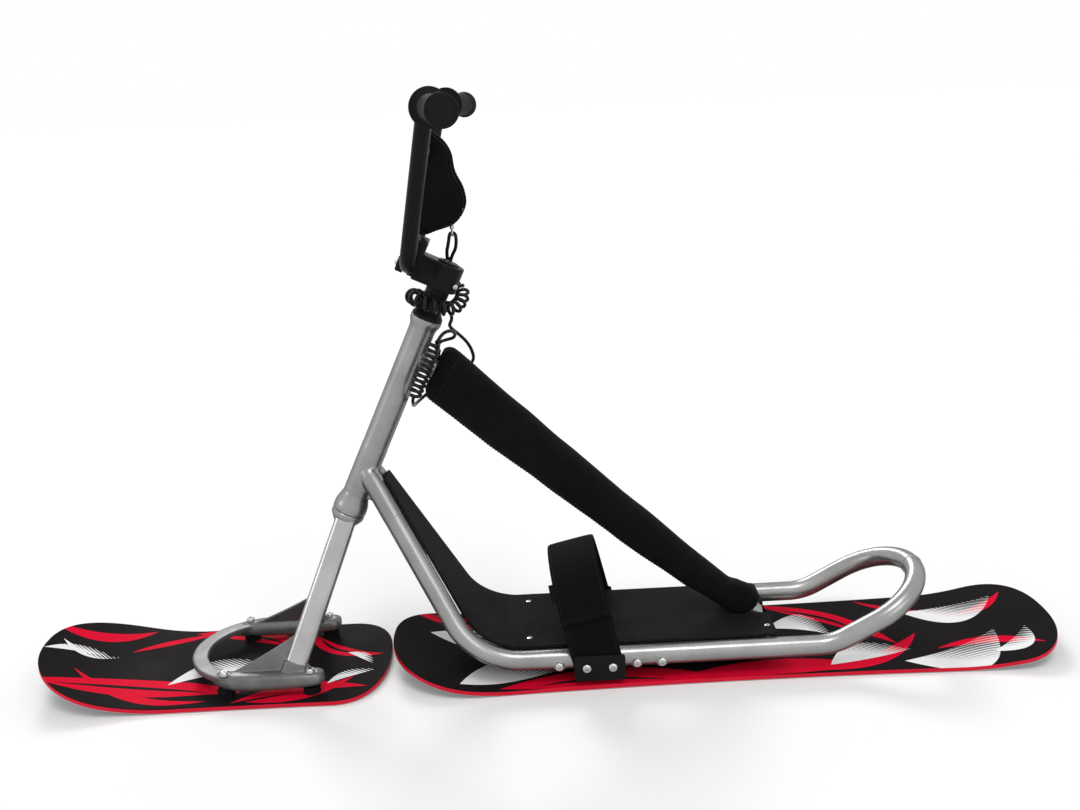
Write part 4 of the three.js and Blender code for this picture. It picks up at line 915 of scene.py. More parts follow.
LOOP_ROUTE = (
    (-9.6, 7.2, -38), (-9.8, 6.5, -32), (-9.2, 4.8, -25), (-7.7, 3.6, -19), (-5.6, 1.6, -10),
    (-4.6, 0.4, -5.2), (-3.2, 0, -1.4), (0, 0, 0.2), (3.2, 0, -1.4), (4.6, 0.4, -5.2),
    (4.8, 1.6, -10), (4.2, 3.2, -17), (2.4, 4.8, -24), (-1.4, 6.3, -31), (-4.6, 7.2, -38),
)
UPPER_ROUTE = ((3.1, 29.6, 388), (5, 30.6, 384.5), (11, 32.4, 381), (18, 32, 378))
UPPER_COIL_ROUTE = (
    (25.5, 28, 373), (32.5, 18.5, 366.5), (35.8, 7, 359.5), (34, -6, 352), (29, -17, 346),
    (19, -26, 342.5), (6, -30.5, 340.5), (-9, -29.5, 339), (-21, -21.5, 337.6), (-28.5, -9.5, 336.6),
    (-29.8, 5, 336), (-23, 19.5, 335.4), (-10, 28.5, 334.8), (4, 30, 334.2), (16, 26, 333.6),
    (25, 18.5, 332.6),
)
UPPER_END_ROUTE = ((31, 11, 329.6), (33.4, 6, 326), (33.8, 4.2, 323.8), (33.8, 4, 321.4))
LOWER_START_ROUTE = (
    (33.8, 4, 320.2), (33.8, 4, 317.8), (35.4, 5, 315), (40.5, 7, 312), (52, 12, 307.5),
    (66, 18, 300.5), (78, 26, 290), (86, 38, 275), (82, 46, 258), (68, 47, 238),
    (52, 42, 216), (40, 30, 198), (33, 12, 189), (30, -10, 190), (27, -30, 199),
)
LOWER_COIL_ROUTE = ((24.5, -38, 208), (24.5, -38.5, 240), (25, -38, 270), (26, -36.5, 297))
LOWER_END_ROUTE = (
    (30, -30, 310), (38, -20, 314.5), (45, -9, 311), (45.5, -1, 303), (38, 1, 296), (31, -1, 290),
    (29.4, -2, 282),
)


def route_line(*routes):
    return catmull_rom([on_column(*spot) for route in routes for spot in route], 60)


def coiled_line(start, middle, end, pitch):
    """A route with the cord wound round its middle stretch, eased in and out."""
    line = route_line(start, middle, end)
    lengths = lengths_along(line)
    coil_from = lengths_along(route_line(start, middle[:1]))[-1]
    coil_to = lengths_along(route_line(start, middle))[-1]
    fine = round(lengths[-1] / MM)
    spots = [spot_at(line, lengths, lengths[-1] * k / fine) for k in range(fine + 1)]
    tangents = [(b - a).normalized() for a, b in zip(spots[:1] + spots[:-1], spots[1:] + spots[-1:])]
    least = min(range(3), key=lambda axis: abs(tangents[0][axis]))
    aside = tangents[0].cross(Vector([float(axis == least) for axis in range(3)])).normalized()
    normal = tangents[0].cross(aside)
    coiled = []
    curl = pitch * MM
    position = 0.0
    step_at = 0
    while position < lengths[-1]:
        while step_at < position / lengths[-1] * fine - 0.5:
            step_at += 1
            turn = tangents[step_at - 1].rotation_difference(tangents[step_at])
            normal.rotate(turn)
        ease = min(1.0, (position - coil_from) / curl, (coil_to - position) / curl)
        swing = COIL_RADIUS * MM * max(0.0, ease)
        angle = 2 * math.pi * (position - coil_from) / curl
        across = tangents[step_at].cross(normal)
        spot = spot_at(line, lengths, position)
        coiled.append(spot + normal * (swing * math.cos(angle)) + across * (swing * math.sin(angle)))
        position += curl / STEPS_PER_CURL if coil_from < position < coil_to else STRAIGHT_STEP * MM
    if (coiled[-1] - line[-1]).length < LEAST_STEP * MM:
        coiled.pop()
    return coiled + [line[-1].copy()]


def crossbar_ends():
    """The left and right end of the crossbar, on the bar's own line."""
    middle = on_column(-BAR_CLAMP_FORWARD, 0, BAR_CLAMP_HEIGHT)
    share = CROSSBAR_RISE / BAR_UPPER_RISE
    spread = (BAR_LOWER_SPREAD + (BAR_UPPER_SPREAD - BAR_LOWER_SPREAD) * share) * MM
    right = middle + mm(BAR_UPPER_BACK * share, 0, CROSSBAR_RISE)
    return right - SIDE * spread, right + SIDE * spread


def swivel_eye():
    _, right = crossbar_ends()
    return Vector((right.x + SWIVEL_BEHIND * MM, CUFF_CENTRE * MM, right.z - SWIVEL_DROP * MM))


def cord_sleeve(name, top, foot, half_width, half_depth, body):
    """A moulded sleeve over cord ends, with waisted grip rings."""
    line = [top.lerp(foot, along) for along, _ in SLEEVE_SHARES]
    profiles = [squared_oval(half_width * size, half_depth * size, 24, 2.4) for _, size in SLEEVE_SHARES]
    piece = sweep(name, line, lambda i: profiles[i], AHEAD)
    return finish_piece(piece, body, "black_plastic")


def declare_cord(cord, line, lay, *with_pieces):
    """Reads a cord's first point and its length, and does nothing with them."""
    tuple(line[0])
    lengths_along(line)[-1]


def make_leash():
    eye = swivel_eye()
    loop_line = catmull_rom([eye + Vector(spot) * MM for spot in LOOP_ROUTE], 6)
    crimp_top = (loop_line[0] + loop_line[-1]) / 2 + UP * CORD_RADIUS * MM
    crimp_foot = on_column(*UPPER_ROUTE[0]) + UP * CRIMP_OVER_CORD * MM
    crimp = cord_sleeve("leash_crimp", crimp_top, crimp_foot, *CRIMP_HALVES, "steering")
    loop = tube("leash_loop_cord", loop_line, CORD_RADIUS, CORD_SIDES)
    finish_piece(loop, "steering", "cord_sheath", "leash_loop")
    declare_cord(loop, loop_line, "hanging", crimp)
    upper = coiled_line(UPPER_ROUTE, UPPER_COIL_ROUTE, UPPER_END_ROUTE, UPPER_PITCH)
    lower = coiled_line(LOWER_START_ROUTE, LOWER_COIL_ROUTE, LOWER_END_ROUTE, LOWER_PITCH)
    whole = upper + lower
    anchor_top, anchor_foot = lower[-1] + UP * ANCHOR_RISE * MM, lower[-1] - UP * ANCHOR_DROP * MM
    anchor = cord_sleeve("leash_anchor", anchor_top, anchor_foot, *ANCHOR_HALVES, "frame")
    coil = tube("leash_curly_cord", whole, CORD_RADIUS, CORD_SIDES)
    finish_piece(coil, None, "cord_sheath", "leash_upper", "leash_lower")
    low, high = on_column(0, 0, BLEND_FROM), on_column(0, 0, BLEND_TO)
    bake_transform(coil)
    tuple(low)
    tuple(high)
    declare_cord(coil, whole, "coiled", anchor)
    wire = [eye + mm(0, y, z) for y, z in circle(EYE_RADIUS, 32)]
    ring = sweep("leash_swivel_eye", wire, lambda _: circle(EYE_WIRE, 12), closed=True)
    finish_piece(ring, "steering", "bright_steel", "leash_swivel")
    collar = turned("leash_swivel_collar", SWIVEL_PROFILE, eye + UP * EYE_RADIUS * MM, UP, 24)
    finish_piece(collar, "steering", "bright_steel")


# Boards

BOARDS = {
    "rear": dict(nose=-222, tail=784, nose_rise=38, nose_run=180, tail_rise=30, tail_run=175),
    "front": dict(nose=-753, tail=-229, nose_rise=56, nose_run=215, tail_rise=3, tail_run=60),
}
BOARD_HALF_WIDTH, SIDECUT_RADIUS, BOARD_ROUNDNESS = 124.0, 8000.0, 2.4
NOSE_ROUND, TAIL_ROUND = 128.0, 78.0
STEEL_EDGE, TOP_EDGE = 1.3, 0.9
ACROSS_SHARES = (0.97, 0.8, 0.5, 0.2, -0.2, -0.5, -0.8, -0.97)
# The side's section: how far in from the edge, and how high
BOARD_SIDE = (
    (1.0, 0), (0, 0.3), (0, STEEL_EDGE), (0.35, STEEL_EDGE), (0.35, BOARD_THICKNESS - TOP_EDGE),
    (0.7, BOARD_THICKNESS - 0.3), (1.3, BOARD_THICKNESS),
)
LEAST_HALF_WIDTH, SIDE_FADE, FLAT_FACING, BASE_HIGH = 0.05, 4, 0.75, 0.2
BOARD_END_STEPS, BOARD_FLAT_STEPS, BOARD_CROWDING = 34, 90, 2.2


def make_board(end, body):
    """A laminated board: printed top, red side wall, steel edge and dark base, with raised ends."""
    sizes = BOARDS[end]
    widest_nose, widest_tail = sizes["nose"] + NOSE_ROUND, sizes["tail"] - TAIL_ROUND

    def half_width_at(x):
        if widest_nose < x < widest_tail:
            return BOARD_HALF_WIDTH - (x - widest_nose) * (widest_tail - x) / (2 * SIDECUT_RADIUS)
        share = (x - sizes["nose"]) / NOSE_ROUND if x <= widest_nose else (sizes["tail"] - x) / TAIL_ROUND
        return BOARD_HALF_WIDTH * (1 - (1 - min(1.0, share)) ** BOARD_ROUNDNESS) ** (1 / BOARD_ROUNDNESS)

    def lift_at(x):
        nose = max(0.0, (sizes["nose"] + sizes["nose_run"] - x) / sizes["nose_run"])
        tail = max(0.0, (x - sizes["tail"] + sizes["tail_run"]) / sizes["tail_run"])
        return sizes["nose_rise"] * nose ** 2 + sizes["tail_rise"] * tail ** 2

    shares = [(k / BOARD_END_STEPS) ** BOARD_CROWDING for k in range(BOARD_END_STEPS)]
    waist = widest_tail - widest_nose
    flats = [widest_nose + waist * k / BOARD_FLAT_STEPS for k in range(BOARD_FLAT_STEPS + 1)]
    stations = [sizes["nose"] + NOSE_ROUND * share for share in shares] + flats
    stations += [sizes["tail"] - TAIL_ROUND * share for share in reversed(shares)]
    rings = []
    for x in stations:
        half = max(LEAST_HALF_WIDTH, half_width_at(x))
        draw = min(1.0, half / SIDE_FADE)
        side = [(half - inset * draw, z) for inset, z in BOARD_SIDE]
        top = [(side[-1][0] * share, BOARD_THICKNESS) for share in ACROSS_SHARES]
        base = [(-side[0][0] * share, 0) for share in ACROSS_SHARES]
        ring = side + top + [(-y, z) for y, z in reversed(side)] + base
        rings.append([mm(x, y, z + lift_at(x)) for y, z in ring])
    piece = loft(f"{end}_board_laminate", rings)
    for finish in (f"{end}_print", "board_edge", "bearing_steel", "board_base"):
        piece.data.materials.append(finishes[finish])
    for face in piece.data.polygons:
        flat = abs(face.normal.z) > FLAT_FACING
        height = face.center.z / MM - lift_at(face.center.x / MM)
        if flat and height > BOARD_THICKNESS / 2:
            face.material_index = 0
        elif height > STEEL_EDGE:
            face.material_index = 1
        else:
            face.material_index = 3 if flat and height < BASE_HIGH else 2
    finish_piece(piece, body, f"{end}_print", f"{end}_board", sharp=50)


# Frame

TOP_TUBE_FOOT = mm(334, 0, RAIL_Z + 14.5)
TOP_TUBE_END_X = 346.0
RAIL_HEAD_HEIGHT, RAIL_HEAD_SPREAD, RAIL_BEND_X = 73.6, 11.0, -92.8
LOOP_FOOT_X, LOOP_END_X, LOOP_RISE, LOOP_SEAM = 432.0, 576.0, 78.0, 0.02
RAIL_BENDS = (112, 90, RAIL_TRACK - 0.1)
RAIL_END_PLACES = (0, 0.02, 0.045, 0.08, 0.12)
RAIL_END_SIZES = (0.5, 0.8, 0.92, 0.98, 1.0)
FILLET_LOW, FILLET_HIGH, FILLET_GROWTH = 27.0, 112.0, 0.5
FILLET_STUBS = (0.22, 0.33)
FILLER_LOW, FILLER_HIGH = (8, -9.5, 28), (30, 9.5, 62)
FILLET_CELL, FILLET_SMOOTHING = 1.4, 30
WELD_STEP, WELD_RIPPLE, STEPS_PER_RIPPLE = 0.8, 0.16, 3.6
HEAD_TUBE_PROFILE = (
    (16.2, 8), (22.4, 8), (22.4, 0.6), (22.8, 0), (23.6, 0), (24.6, 0.6), (25.0, 1.6), (25.0, 8), (24.7, 11),
    (23.9, 15), (22.3, 20), (20.8, 24.5), (19.8, 28), (19.2, 32), (19.2, 297), (19.5, 300), (20.4, 303),
    (21.8, 306), (22.7, 308.5), (23.0, 311), (23.0, 314.4), (22.4, 315), (21.0, 315), (20.6, 314.4),
    (20.6, 307), (16.2, 307), (16.2, 8),
)


def rail_line(side, steps):
    head = on_column(0, 0, RAIL_HEAD_HEIGHT)
    head.y = side * RAIL_HEAD_SPREAD * MM
    corners = [
        head,
        mm(RAIL_BEND_X, side * RAIL_TRACK, RAIL_Z),
        mm(LOOP_FOOT_X, side * RAIL_TRACK, RAIL_Z),
        mm(LOOP_END_X, side * RAIL_TRACK, RAIL_Z + LOOP_RISE),
        mm(LOOP_END_X, 0, RAIL_Z + LOOP_RISE),
    ]
    return bent_line(corners, RAIL_BENDS, steps)


def meeting_line(spot, direction, radius, column_radius, steps=64):
    """Where a round tube that leaves the head tube in a direction meets its surface."""
    across = SIDE
    over = direction.cross(across).normalized()
    flat = direction - column_up * direction.dot(column_up)
    line = []
    for a, b in circle(radius * MM, steps):
        start = spot + across * a + over * b
        away = start - column_foot
        away = away - column_up * away.dot(column_up)
        qa, qb, qc = flat.dot(flat), 2 * away.dot(flat), away.dot(away) - (column_radius * MM) ** 2
        reach = (-qb + math.sqrt(max(0.0, qb * qb - 4 * qa * qc))) / (2 * qa)
        line.append(start + direction * reach)
    return line


def weld_bead(name, line, body, finish="satin_alloy", radius=1.9):
    """A rippled bead of weld along a closed line."""
    route = line + line[:1]
    lengths = lengths_along(route)
    count = max(12, int(lengths[-1] / (WELD_STEP * MM)))
    spots = [spot_at(route, lengths, lengths[-1] * k / count) for k in range(count)]
    sizes = [radius * (1 + WELD_RIPPLE * math.sin(2 * math.pi * k / STEPS_PER_RIPPLE)) for k in range(count)]
    piece = sweep(name, spots, lambda i: circle(sizes[i], 10), closed=True)
    return finish_piece(piece, body, finish, sharp=80)


def tapered_rail(line, extra=0.0):
    """A rail's line and radii, its end drawn in where it is welded to the head tube."""
    steps = [line[0].lerp(line[1], share) for share in RAIL_END_PLACES]
    radii = [RAIL_RADIUS * size + extra for size in RAIL_END_SIZES] + [RAIL_RADIUS + extra] * (len(line) - 1)
    return steps + line[1:], radii


def head_tube_space(inset):
    """A long rod inside the head tube, which clears it of what is welded to it."""
    radius = HEAD_TUBE_RADIUS - inset
    return turned("head_space", [(radius, -20), (radius, 340)], column_foot, column_up, 64)


def make_frame_tubes():
    for hand, side in HANDS:
        line, radii = tapered_rail(rail_line(side, 22))
        piece = sweep(f"{hand}_rail_tube", line, lambda i: circle(radii[i], 40))
        slice_off(piece, mm(0, side * LOOP_SEAM, 0), -SIDE * side)
        carve(piece, head_tube_space(0.2))
        finish_piece(piece, "frame", "satin_alloy", f"{hand}_frame_tube")
    loop_end = mm(LOOP_END_X, 0, RAIL_Z + LOOP_RISE)
    loop_ring = [loop_end + mm(a, 0, b) for a, b in circle(RAIL_RADIUS - 0.2, 64)]
    weld_bead("loop_weld", loop_ring, "frame", radius=1.2)


def make_head_joint():
    """The smooth ground weld where both rails meet the head tube."""
    radius = HEAD_TUBE_RADIUS + FILLET_GROWTH
    core = [(radius, FILLET_LOW), (radius, FILLET_HIGH)]
    joint = turned("head_joint_fillet", core, column_foot, column_up, 64)
    stubs = []
    for _, side in HANDS:
        line, radii = tapered_rail(rail_line(side, 22), FILLET_GROWTH)
        line = line[:5] + [line[0].lerp(line[5], share) for share in FILLET_STUBS]
        stubs.append(sweep("stub", line, lambda i: circle(radii[i], 40)))
    stubs.append(column_box("filler", FILLER_LOW, FILLER_HIGH))
    melt(joint, stubs, FILLET_CELL, FILLET_SMOOTHING)
    carve(joint, head_tube_space(1.2))
    finish_piece(joint, "frame", "satin_alloy", sharp=60)


def top_tube_frame():
    """Where the top tube leaves the column, the way it goes, and the way out of its upper side."""
    start = on_column(0, 0, TOP_TUBE_HEAD)
    axis = (TOP_TUBE_FOOT - start).normalized()
    over = SIDE.cross(axis).normalized()
    return start, axis, -over if over.z < 0 else over


def make_top_tube():
    start, axis, _ = top_tube_frame()
    far = start + axis * ((TOP_TUBE_END_X * MM + 0.05 - start.x) / axis.x)
    piece = tube("top_tube_tube", [start, start.lerp(far, 0.5), far], TOP_TUBE_RADIUS, 48)
    slice_off(piece, mm(TOP_TUBE_END_X, 0, 0), AHEAD)
    slice_off(piece, mm(0, 0, RAIL_Z - 1.5), -UP)
    carve(piece, head_tube_space(0.2))
    finish_piece(piece, "frame", "satin_alloy", "top_tube")
    weld_bead("top_tube_weld", meeting_line(start, axis, TOP_TUBE_RADIUS, HEAD_TUBE_RADIUS), "frame")


# Bridges under the deck, and the rear board's dampers

BRIDGES = (("front", -8, 1), ("rear", 334, -1))
BRIDGE_Z, BRIDGE_RADIUS, BRIDGE_REACH = RAIL_Z - 1.5, 11.0, RAIL_TRACK - RAIL_RADIUS + 3
PLATE_FROM, PLATE_LENGTH, PLATE_HALF, PLATE_THICKNESS = -14.0, 76.0, 78.0, 6.0
BOSS_RADIUS, BOSS_SIDE = 6, 62
DAMPER_HEIGHT, DAMPER_INWARD, DAMPER_SIDE = 19.4, 38, 42
DAMPER_PROFILE = (
    (0, 0), (18.4, 0), (19, 0.6), (19, 2.2), (18.2, 2.6), (17.0, 5), (16.6, 9.7), (17.0, 14.4), (18.2, 16.8),
    (19, 17.2), (19, 18.8), (18.4, DAMPER_HEIGHT), (0, DAMPER_HEIGHT),
)
NUT_PROFILE = ((0, 0), (7, 0), (7, 5), (6.2, 6), (4, 6), (3.6, 7.5), (0, 7.5))


def make_bridges():
    """The cross tubes under the deck, each with its flat plate over two rubber dampers."""
    plate_low = BOARD_THICKNESS + DAMPER_HEIGHT + 2 * GAP
    for end, x, direction in BRIDGES:
        line = [mm(x, y, BRIDGE_Z) for y in (-BRIDGE_REACH, 0, BRIDGE_REACH)]
        piece = tube(f"{end}_bridge_weldment", line, BRIDGE_RADIUS, 32)
        edges = sorted(x + direction * far for far in (PLATE_FROM, PLATE_FROM + PLATE_LENGTH))
        plate_high = plate_low + PLATE_THICKNESS
        plate = box("plate", mm(edges[0], -PLATE_HALF, plate_low), mm(edges[1], PLATE_HALF, plate_high))
        round_edges(plate, 1.6)
        fuse(piece, plate)
        for _, side in HANDS:
            boss_profile = [(BOSS_RADIUS, 0), (BOSS_RADIUS, DECK_UNDER - GAP - BRIDGE_Z)]
            fuse(piece, turned("boss", boss_profile, mm(x, side * BOSS_SIDE, BRIDGE_Z), UP, 24))
        finish_piece(piece, "frame", "satin_alloy", f"{end}_bridge")


def make_rear_dampers():
    for end, x, direction in BRIDGES:
        for hand, side in HANDS:
            name = f"rear_damper_{end}_{hand}"
            base = mm(x + direction * DAMPER_INWARD, side * DAMPER_SIDE, BOARD_THICKNESS + GAP)
            rubber = turned(name + "_rubber", DAMPER_PROFILE, base, UP)
            finish_piece(rubber, "frame", "damper_rubber", f"rear_board_damper_{end}_{hand}")
            top = base + UP * (DAMPER_HEIGHT + PLATE_THICKNESS + 2 * GAP) * MM
            finish_piece(turned(name + "_nut", NUT_PROFILE, top, UP, 6), "frame", "bright_steel")


# Deck

DECK_INSET, DECK_HEAD_OVERLAP, DECK_HEAD_START, DECK_HEAD_STEPS = 5, 4, 27, 12
DECK_HALF = RAIL_TRACK - DECK_INSET
DECK_SEAM_X, DECK_REAR_X, DECK_CORNER, NOTCH_X, NOTCH_HALF = -30.0, 352.0, 8.0, 294.0, 17.5
DECK_SCREWS = ((-13, -62), (-13, 62), (342, -60), (342, 60))
SCREW_HOLE = ((1.9, -8), (1.9, -1.9), (4.3, 0.4), (4.3, 2))
SCREW_PROFILE = ((0, -7), (1.6, -7), (1.6, -2), (4.0, 0), (3.4, 0.25), (0, 0.4))


def make_deck_front():
    """The panel that follows the rails' bend up towards the head tube."""
    line = rail_line(1, 24)
    first = line[0] + (line[1] - line[0]).normalized() * DECK_HEAD_START * MM
    bend = line[1:26]
    spots = [first + (bend[0] - first) * (k / DECK_HEAD_STEPS) for k in range(DECK_HEAD_STEPS)] + bend
    spots.append(mm(DECK_SEAM_X - 0.5, RAIL_TRACK, RAIL_Z))
    middle = [Vector((spot.x, 0, spot.z)) for spot in spots]
    low, high = RAIL_RADIUS + GAP, RAIL_RADIUS + GAP + DECK_THICKNESS

    def section(i):
        fade = max(0.0, 1 - i / DECK_HEAD_STEPS)
        half = spots[i].y / MM + fade * DECK_HEAD_OVERLAP - (1 - fade) * DECK_INSET
        across = (-half, -half / 3, half / 3, half)
        return [(y, low) for y in across] + [(y, high) for y in reversed(across)]

    front = sweep("deck_front_cover", middle, section, SIDE)
    round_edges(front, 1.4, 3, 50)
    finish_piece(front, "frame", "grip_deck", "deck_front_panel")


def deck_rear_outline():
    """The flat panel's outline, round at its rear corners and notched for the top tube."""
    corner_x, corner_y = DECK_REAR_X - DECK_CORNER, DECK_HALF - DECK_CORNER
    corner = [(DECK_CORNER * math.cos(turn), DECK_CORNER * math.sin(turn)) for turn in quarter(8)]
    centre = NOTCH_X + NOTCH_HALF
    outline = [(DECK_SEAM_X + 0.5, -DECK_HALF)]
    outline += [(corner_x + b, -corner_y - a) for a, b in corner]
    outline += [(DECK_REAR_X, -NOTCH_HALF)]
    outline += [(centre - NOTCH_HALF * math.sin(a), -NOTCH_HALF * math.cos(a)) for a in half_turn(16)]
    outline += [(DECK_REAR_X, NOTCH_HALF)]
    outline += [(corner_x + a, corner_y + b) for a, b in corner]
    return outline + [(DECK_SEAM_X + 0.5, DECK_HALF)]


def make_deck_rear():
    rear = slab("deck_rear_cover", deck_rear_outline(), DECK_UNDER, DECK_TOP)
    for x, y in DECK_SCREWS:
        carve(rear, turned("hole", SCREW_HOLE, mm(x, y, DECK_TOP), UP, 24))
    round_edges(rear, 1.2, 3, 60)
    finish_piece(rear, "frame", "grip_deck", "deck_rear_panel")
    for i, (x, y) in enumerate(DECK_SCREWS):
        spot = mm(x, y, DECK_TOP - 0.2)
        screw = turned(f"deck_screw_{i + 1}", SCREW_PROFILE, spot, UP, 24)
        carve(screw, hex_key(spot, UP, 1.6, 1.4))
        finish_piece(screw, "frame", "bright_steel")


# Foam pad on the top tube

PAD_START, PAD_END, PAD_SLANT, PAD_SLANT_RUN = 39.0, 651.0, 0.193, 90.0
PAD_HEIGHT, PAD_DEPTH, PAD_HALF_WIDTH, PAD_SQUARENESS = 42.0, 44.0, 30.0, 2.6
PAD_SHARES = (
    (0, 0.9, 0.86, 0.86), (0.02, 1, 0.99, 0.99), (0.21, 0.84, 1, 1), (0.36, 0.74, 0.95, 0.95),
    (0.6, 0.59, 0.9, 0.87), (0.81, 0.46, 0.78, 0.79), (0.905, 0.44, 0.64, 0.76), (0.935, 0.62, 0.6, 0.78),
    (0.96, 0.73, 0.57, 0.79), (0.985, 0.68, 0.54, 0.74), (1, 0.52, 0.49, 0.62),
)
PAD_RINGS, PAD_SIDES = 170, 72
PAD_END_RINGS = {0.004, 0.01, 0.99, 0.996}
PAD_SLACK, PAD_SIZE, PAD_END_DRAW, PAD_END_RUN = 1.6, 36.0, 0.07, 0.01
PAD_SWELLS = ((0.9, 1), (0.35, 3.1))
PAD_SEWN_RINGS, PAD_LOWEST = (8, -9), PAD_SIDES * 3 // 4
PAD_ON_TUBE, PAD_DECK_GAP, PAD_GRAIN_RADIUS = 14.4, 0.9, 34


def between(table, along):
    """A row of a table of shares, read between its rows."""
    for low, high in zip(table, table[1:]):
        if along <= high[0]:
            share = (along - low[0]) / (high[0] - low[0])
            share = share * share * (3 - 2 * share)
            return [a + (b - a) * share for a, b in zip(low[1:], high[1:])]
    return list(table[-1][1:])


def make_pad():
    """The padded sleeve. It gives back the rings that it was drawn with, for its seams."""
    start, axis, over = top_tube_frame()
    rings = []
    for share in sorted({k / PAD_RINGS for k in range(PAD_RINGS + 1)} | PAD_END_RINGS):
        above, below, wide = between(PAD_SHARES, share)
        along = PAD_START + (PAD_END - PAD_START) * share
        slant_left = max(0.0, 1 - (along - PAD_START) / PAD_SLANT_RUN)
        end_round = min(1.0, 1 - PAD_END_DRAW + PAD_END_DRAW * min(share, 1 - share) / PAD_END_RUN)
        ring = []
        for y, high in squared_oval(PAD_HALF_WIDTH * wide, 1, PAD_SIDES, PAD_SQUARENESS):
            rise = high * (PAD_HEIGHT * above if high > 0 else PAD_DEPTH * below)
            flow = Vector((along * 0.012, math.atan2(high, y / 30.0) * 1.4, 3.0))
            swell = sum(depth * noise.noise(flow * pitch) for depth, pitch in PAD_SWELLS)
            size = end_round * (1 + swell / PAD_SIZE) - PAD_SLACK / PAD_SIZE
            forward = along - rise * PAD_SLANT * slant_left
            spot = start + axis * forward * MM + (over * rise + SIDE * y) * size * MM
            spot.z = max(spot.z, (DECK_TOP + PAD_DECK_GAP) * MM) if spot.x > 0.2 else spot.z
            ring.append(spot)
        rings.append(ring)
    piece = loft("top_tube_foam_pad", rings)
    carve(piece, tube("bore", [start, start + axis * 0.8], TOP_TUBE_RADIUS + 0.4, 48))
    sewn = [spot for index in PAD_SEWN_RINGS for spot in rings[index]]
    sewn += [ring[PAD_LOWEST] for ring in rings]
    sewn += rings[0] + rings[-1]
    on_tube = [(over * a + SIDE * b) * MM for a, b in circle(PAD_ON_TUBE, 16)]
    sewn += [start + axis * step * 4 * MM + spot for step in range(8, 165) for spot in on_tube]
    plump(piece, sewn=sewn, **PAD_CLOTH)
    lay_grain(piece, start, axis, PAD_GRAIN_RADIUS)
    finish_piece(piece, "frame", "pad_foam", "top_tube_pad", sharp=75)
    return rings


# For each ring of one stitch: how far along it, its size and its rise
STITCH_RINGS = ((0, 0.35, -0.3), (0.2, 0.9, 0.15), (0.5, 1, 0.3), (0.8, 0.9, 0.15), (1, 0.35, -0.3))
STITCH_LENGTH, STITCH_SPACE, STITCH_RADIUS, STITCH_SIDES, STITCH_WELD = 3.4, 1.7, 0.42, 6, 1e-7


def stitches(name, line, out, body):
    """A row of short raised threads along a line. out gives the way out of the surface at each spot."""
    lengths = lengths_along(line)
    vertices, faces = [], []
    position = STITCH_SPACE * MM
    while position + STITCH_LENGTH * MM < lengths[-1]:
        here = spot_at(line, lengths, position)
        there = spot_at(line, lengths, position + STITCH_LENGTH * MM)
        heading = (there - here).normalized()
        across = heading.cross(out(here.lerp(there, 0.5))).normalized()
        lift = across.cross(heading)
        first = len(vertices)
        for share, size, rise in STITCH_RINGS:
            centre = here.lerp(there, share) + lift * rise * STITCH_RADIUS * MM
            thread = circle(STITCH_RADIUS * size * MM, STITCH_SIDES)
            vertices += [centre + across * a + lift * b for a, b in thread]
        last = len(vertices) - STITCH_SIDES
        for near in range(first, last, STITCH_SIDES):
            for i in range(STITCH_SIDES):
                j = (i + 1) % STITCH_SIDES
                faces.append((near + i, near + j, near + STITCH_SIDES + j, near + STITCH_SIDES + i))
        faces.append(tuple(first + i for i in reversed(range(STITCH_SIDES))))
        faces.append(tuple(last + i for i in range(STITCH_SIDES)))
        position += (STITCH_LENGTH + STITCH_SPACE) * MM
    mesh = bpy.data.meshes.new(name)
    mesh.from_pydata(vertices, [], faces)
    clean_up(mesh, STITCH_WELD)
    return finish_piece(new_object(name, mesh), body, "thread")


def make_pad_seams(rings):
    """The seam along the pad's underside, and the sewn ends."""
    _, _, over = top_tube_frame()
    under = [ring[PAD_LOWEST] for ring in rings[4:-30]]
    seam_line = [spot - over * 0.1 * MM for spot in under[::2]]
    seam_profile = squared_oval(1.0, 2.6, 10, 2)
    finish_piece(sweep("pad_seam", seam_line, lambda _: seam_profile, over), "frame", "binding")
    for hand, side in HANDS:
        row = [spot + (SIDE * side * 5 - over * 0.2) * MM for spot in under]
        stitches(f"pad_stitches_{hand}", row, lambda _: -over, "frame")
    for name, index in zip(("upper", "lower"), PAD_SEWN_RINGS):
        ring = rings[index]
        middle = sum(ring, Vector()) / len(ring)
        line = [spot + (spot - middle).normalized() * 0.15 * MM for spot in ring] + [ring[0]]
        stitches(f"pad_stitches_{name}", line, lambda spot, m=middle: (spot - m).normalized(), "frame")


# Foot strap, its plates and the bolts along the rails

STRAP_WIDTH, STRAP_THICKNESS, STRAP_FOOT_X, STRAP_HEIGHT = 72.0, 5.0, 85.0, 130.0
STRAP_LEAN = math.radians(-12.7)
ARCH_SHARES = (
    (1, -0.14), (1, 0.12), (0.985, 0.3), (0.94, 0.5), (0.83, 0.7), (0.64, 0.86), (0.38, 0.96), (0, 1),
)
STRAP_HEM, STRAP_END_HEM, TAB_SPOTS = 4.2, 5.0, (42, 52)
STRAP_THINNING, STRAP_SWELL, CHANNEL_DEPTH, CHANNEL_PLACE, CHANNEL_WIDTH = 0.55, 0.25, 0.35, 0.9, 0.03
PLATE_WIDTH, PLATE_HEIGHT, PLATE_DROP, PLATE_DEPTH = 74.0, 40.0, 6.0, 2.5
SOFT_GAP = 0.8
OUTER_SIDE = RAIL_TRACK + RAIL_RADIUS
BOLT_XS = (28.4, 67.8, 105.6, 141.7, 178.1)
BOLT_Z = RAIL_Z - 4.9
STRAPPED = (1, 2)
SEAT_PROFILE = ((3.3, -6.5), (8.2, -6.5), (8.2, -0.6), (7.6, -0.1), (3.3, -0.1), (3.3, -6.5))


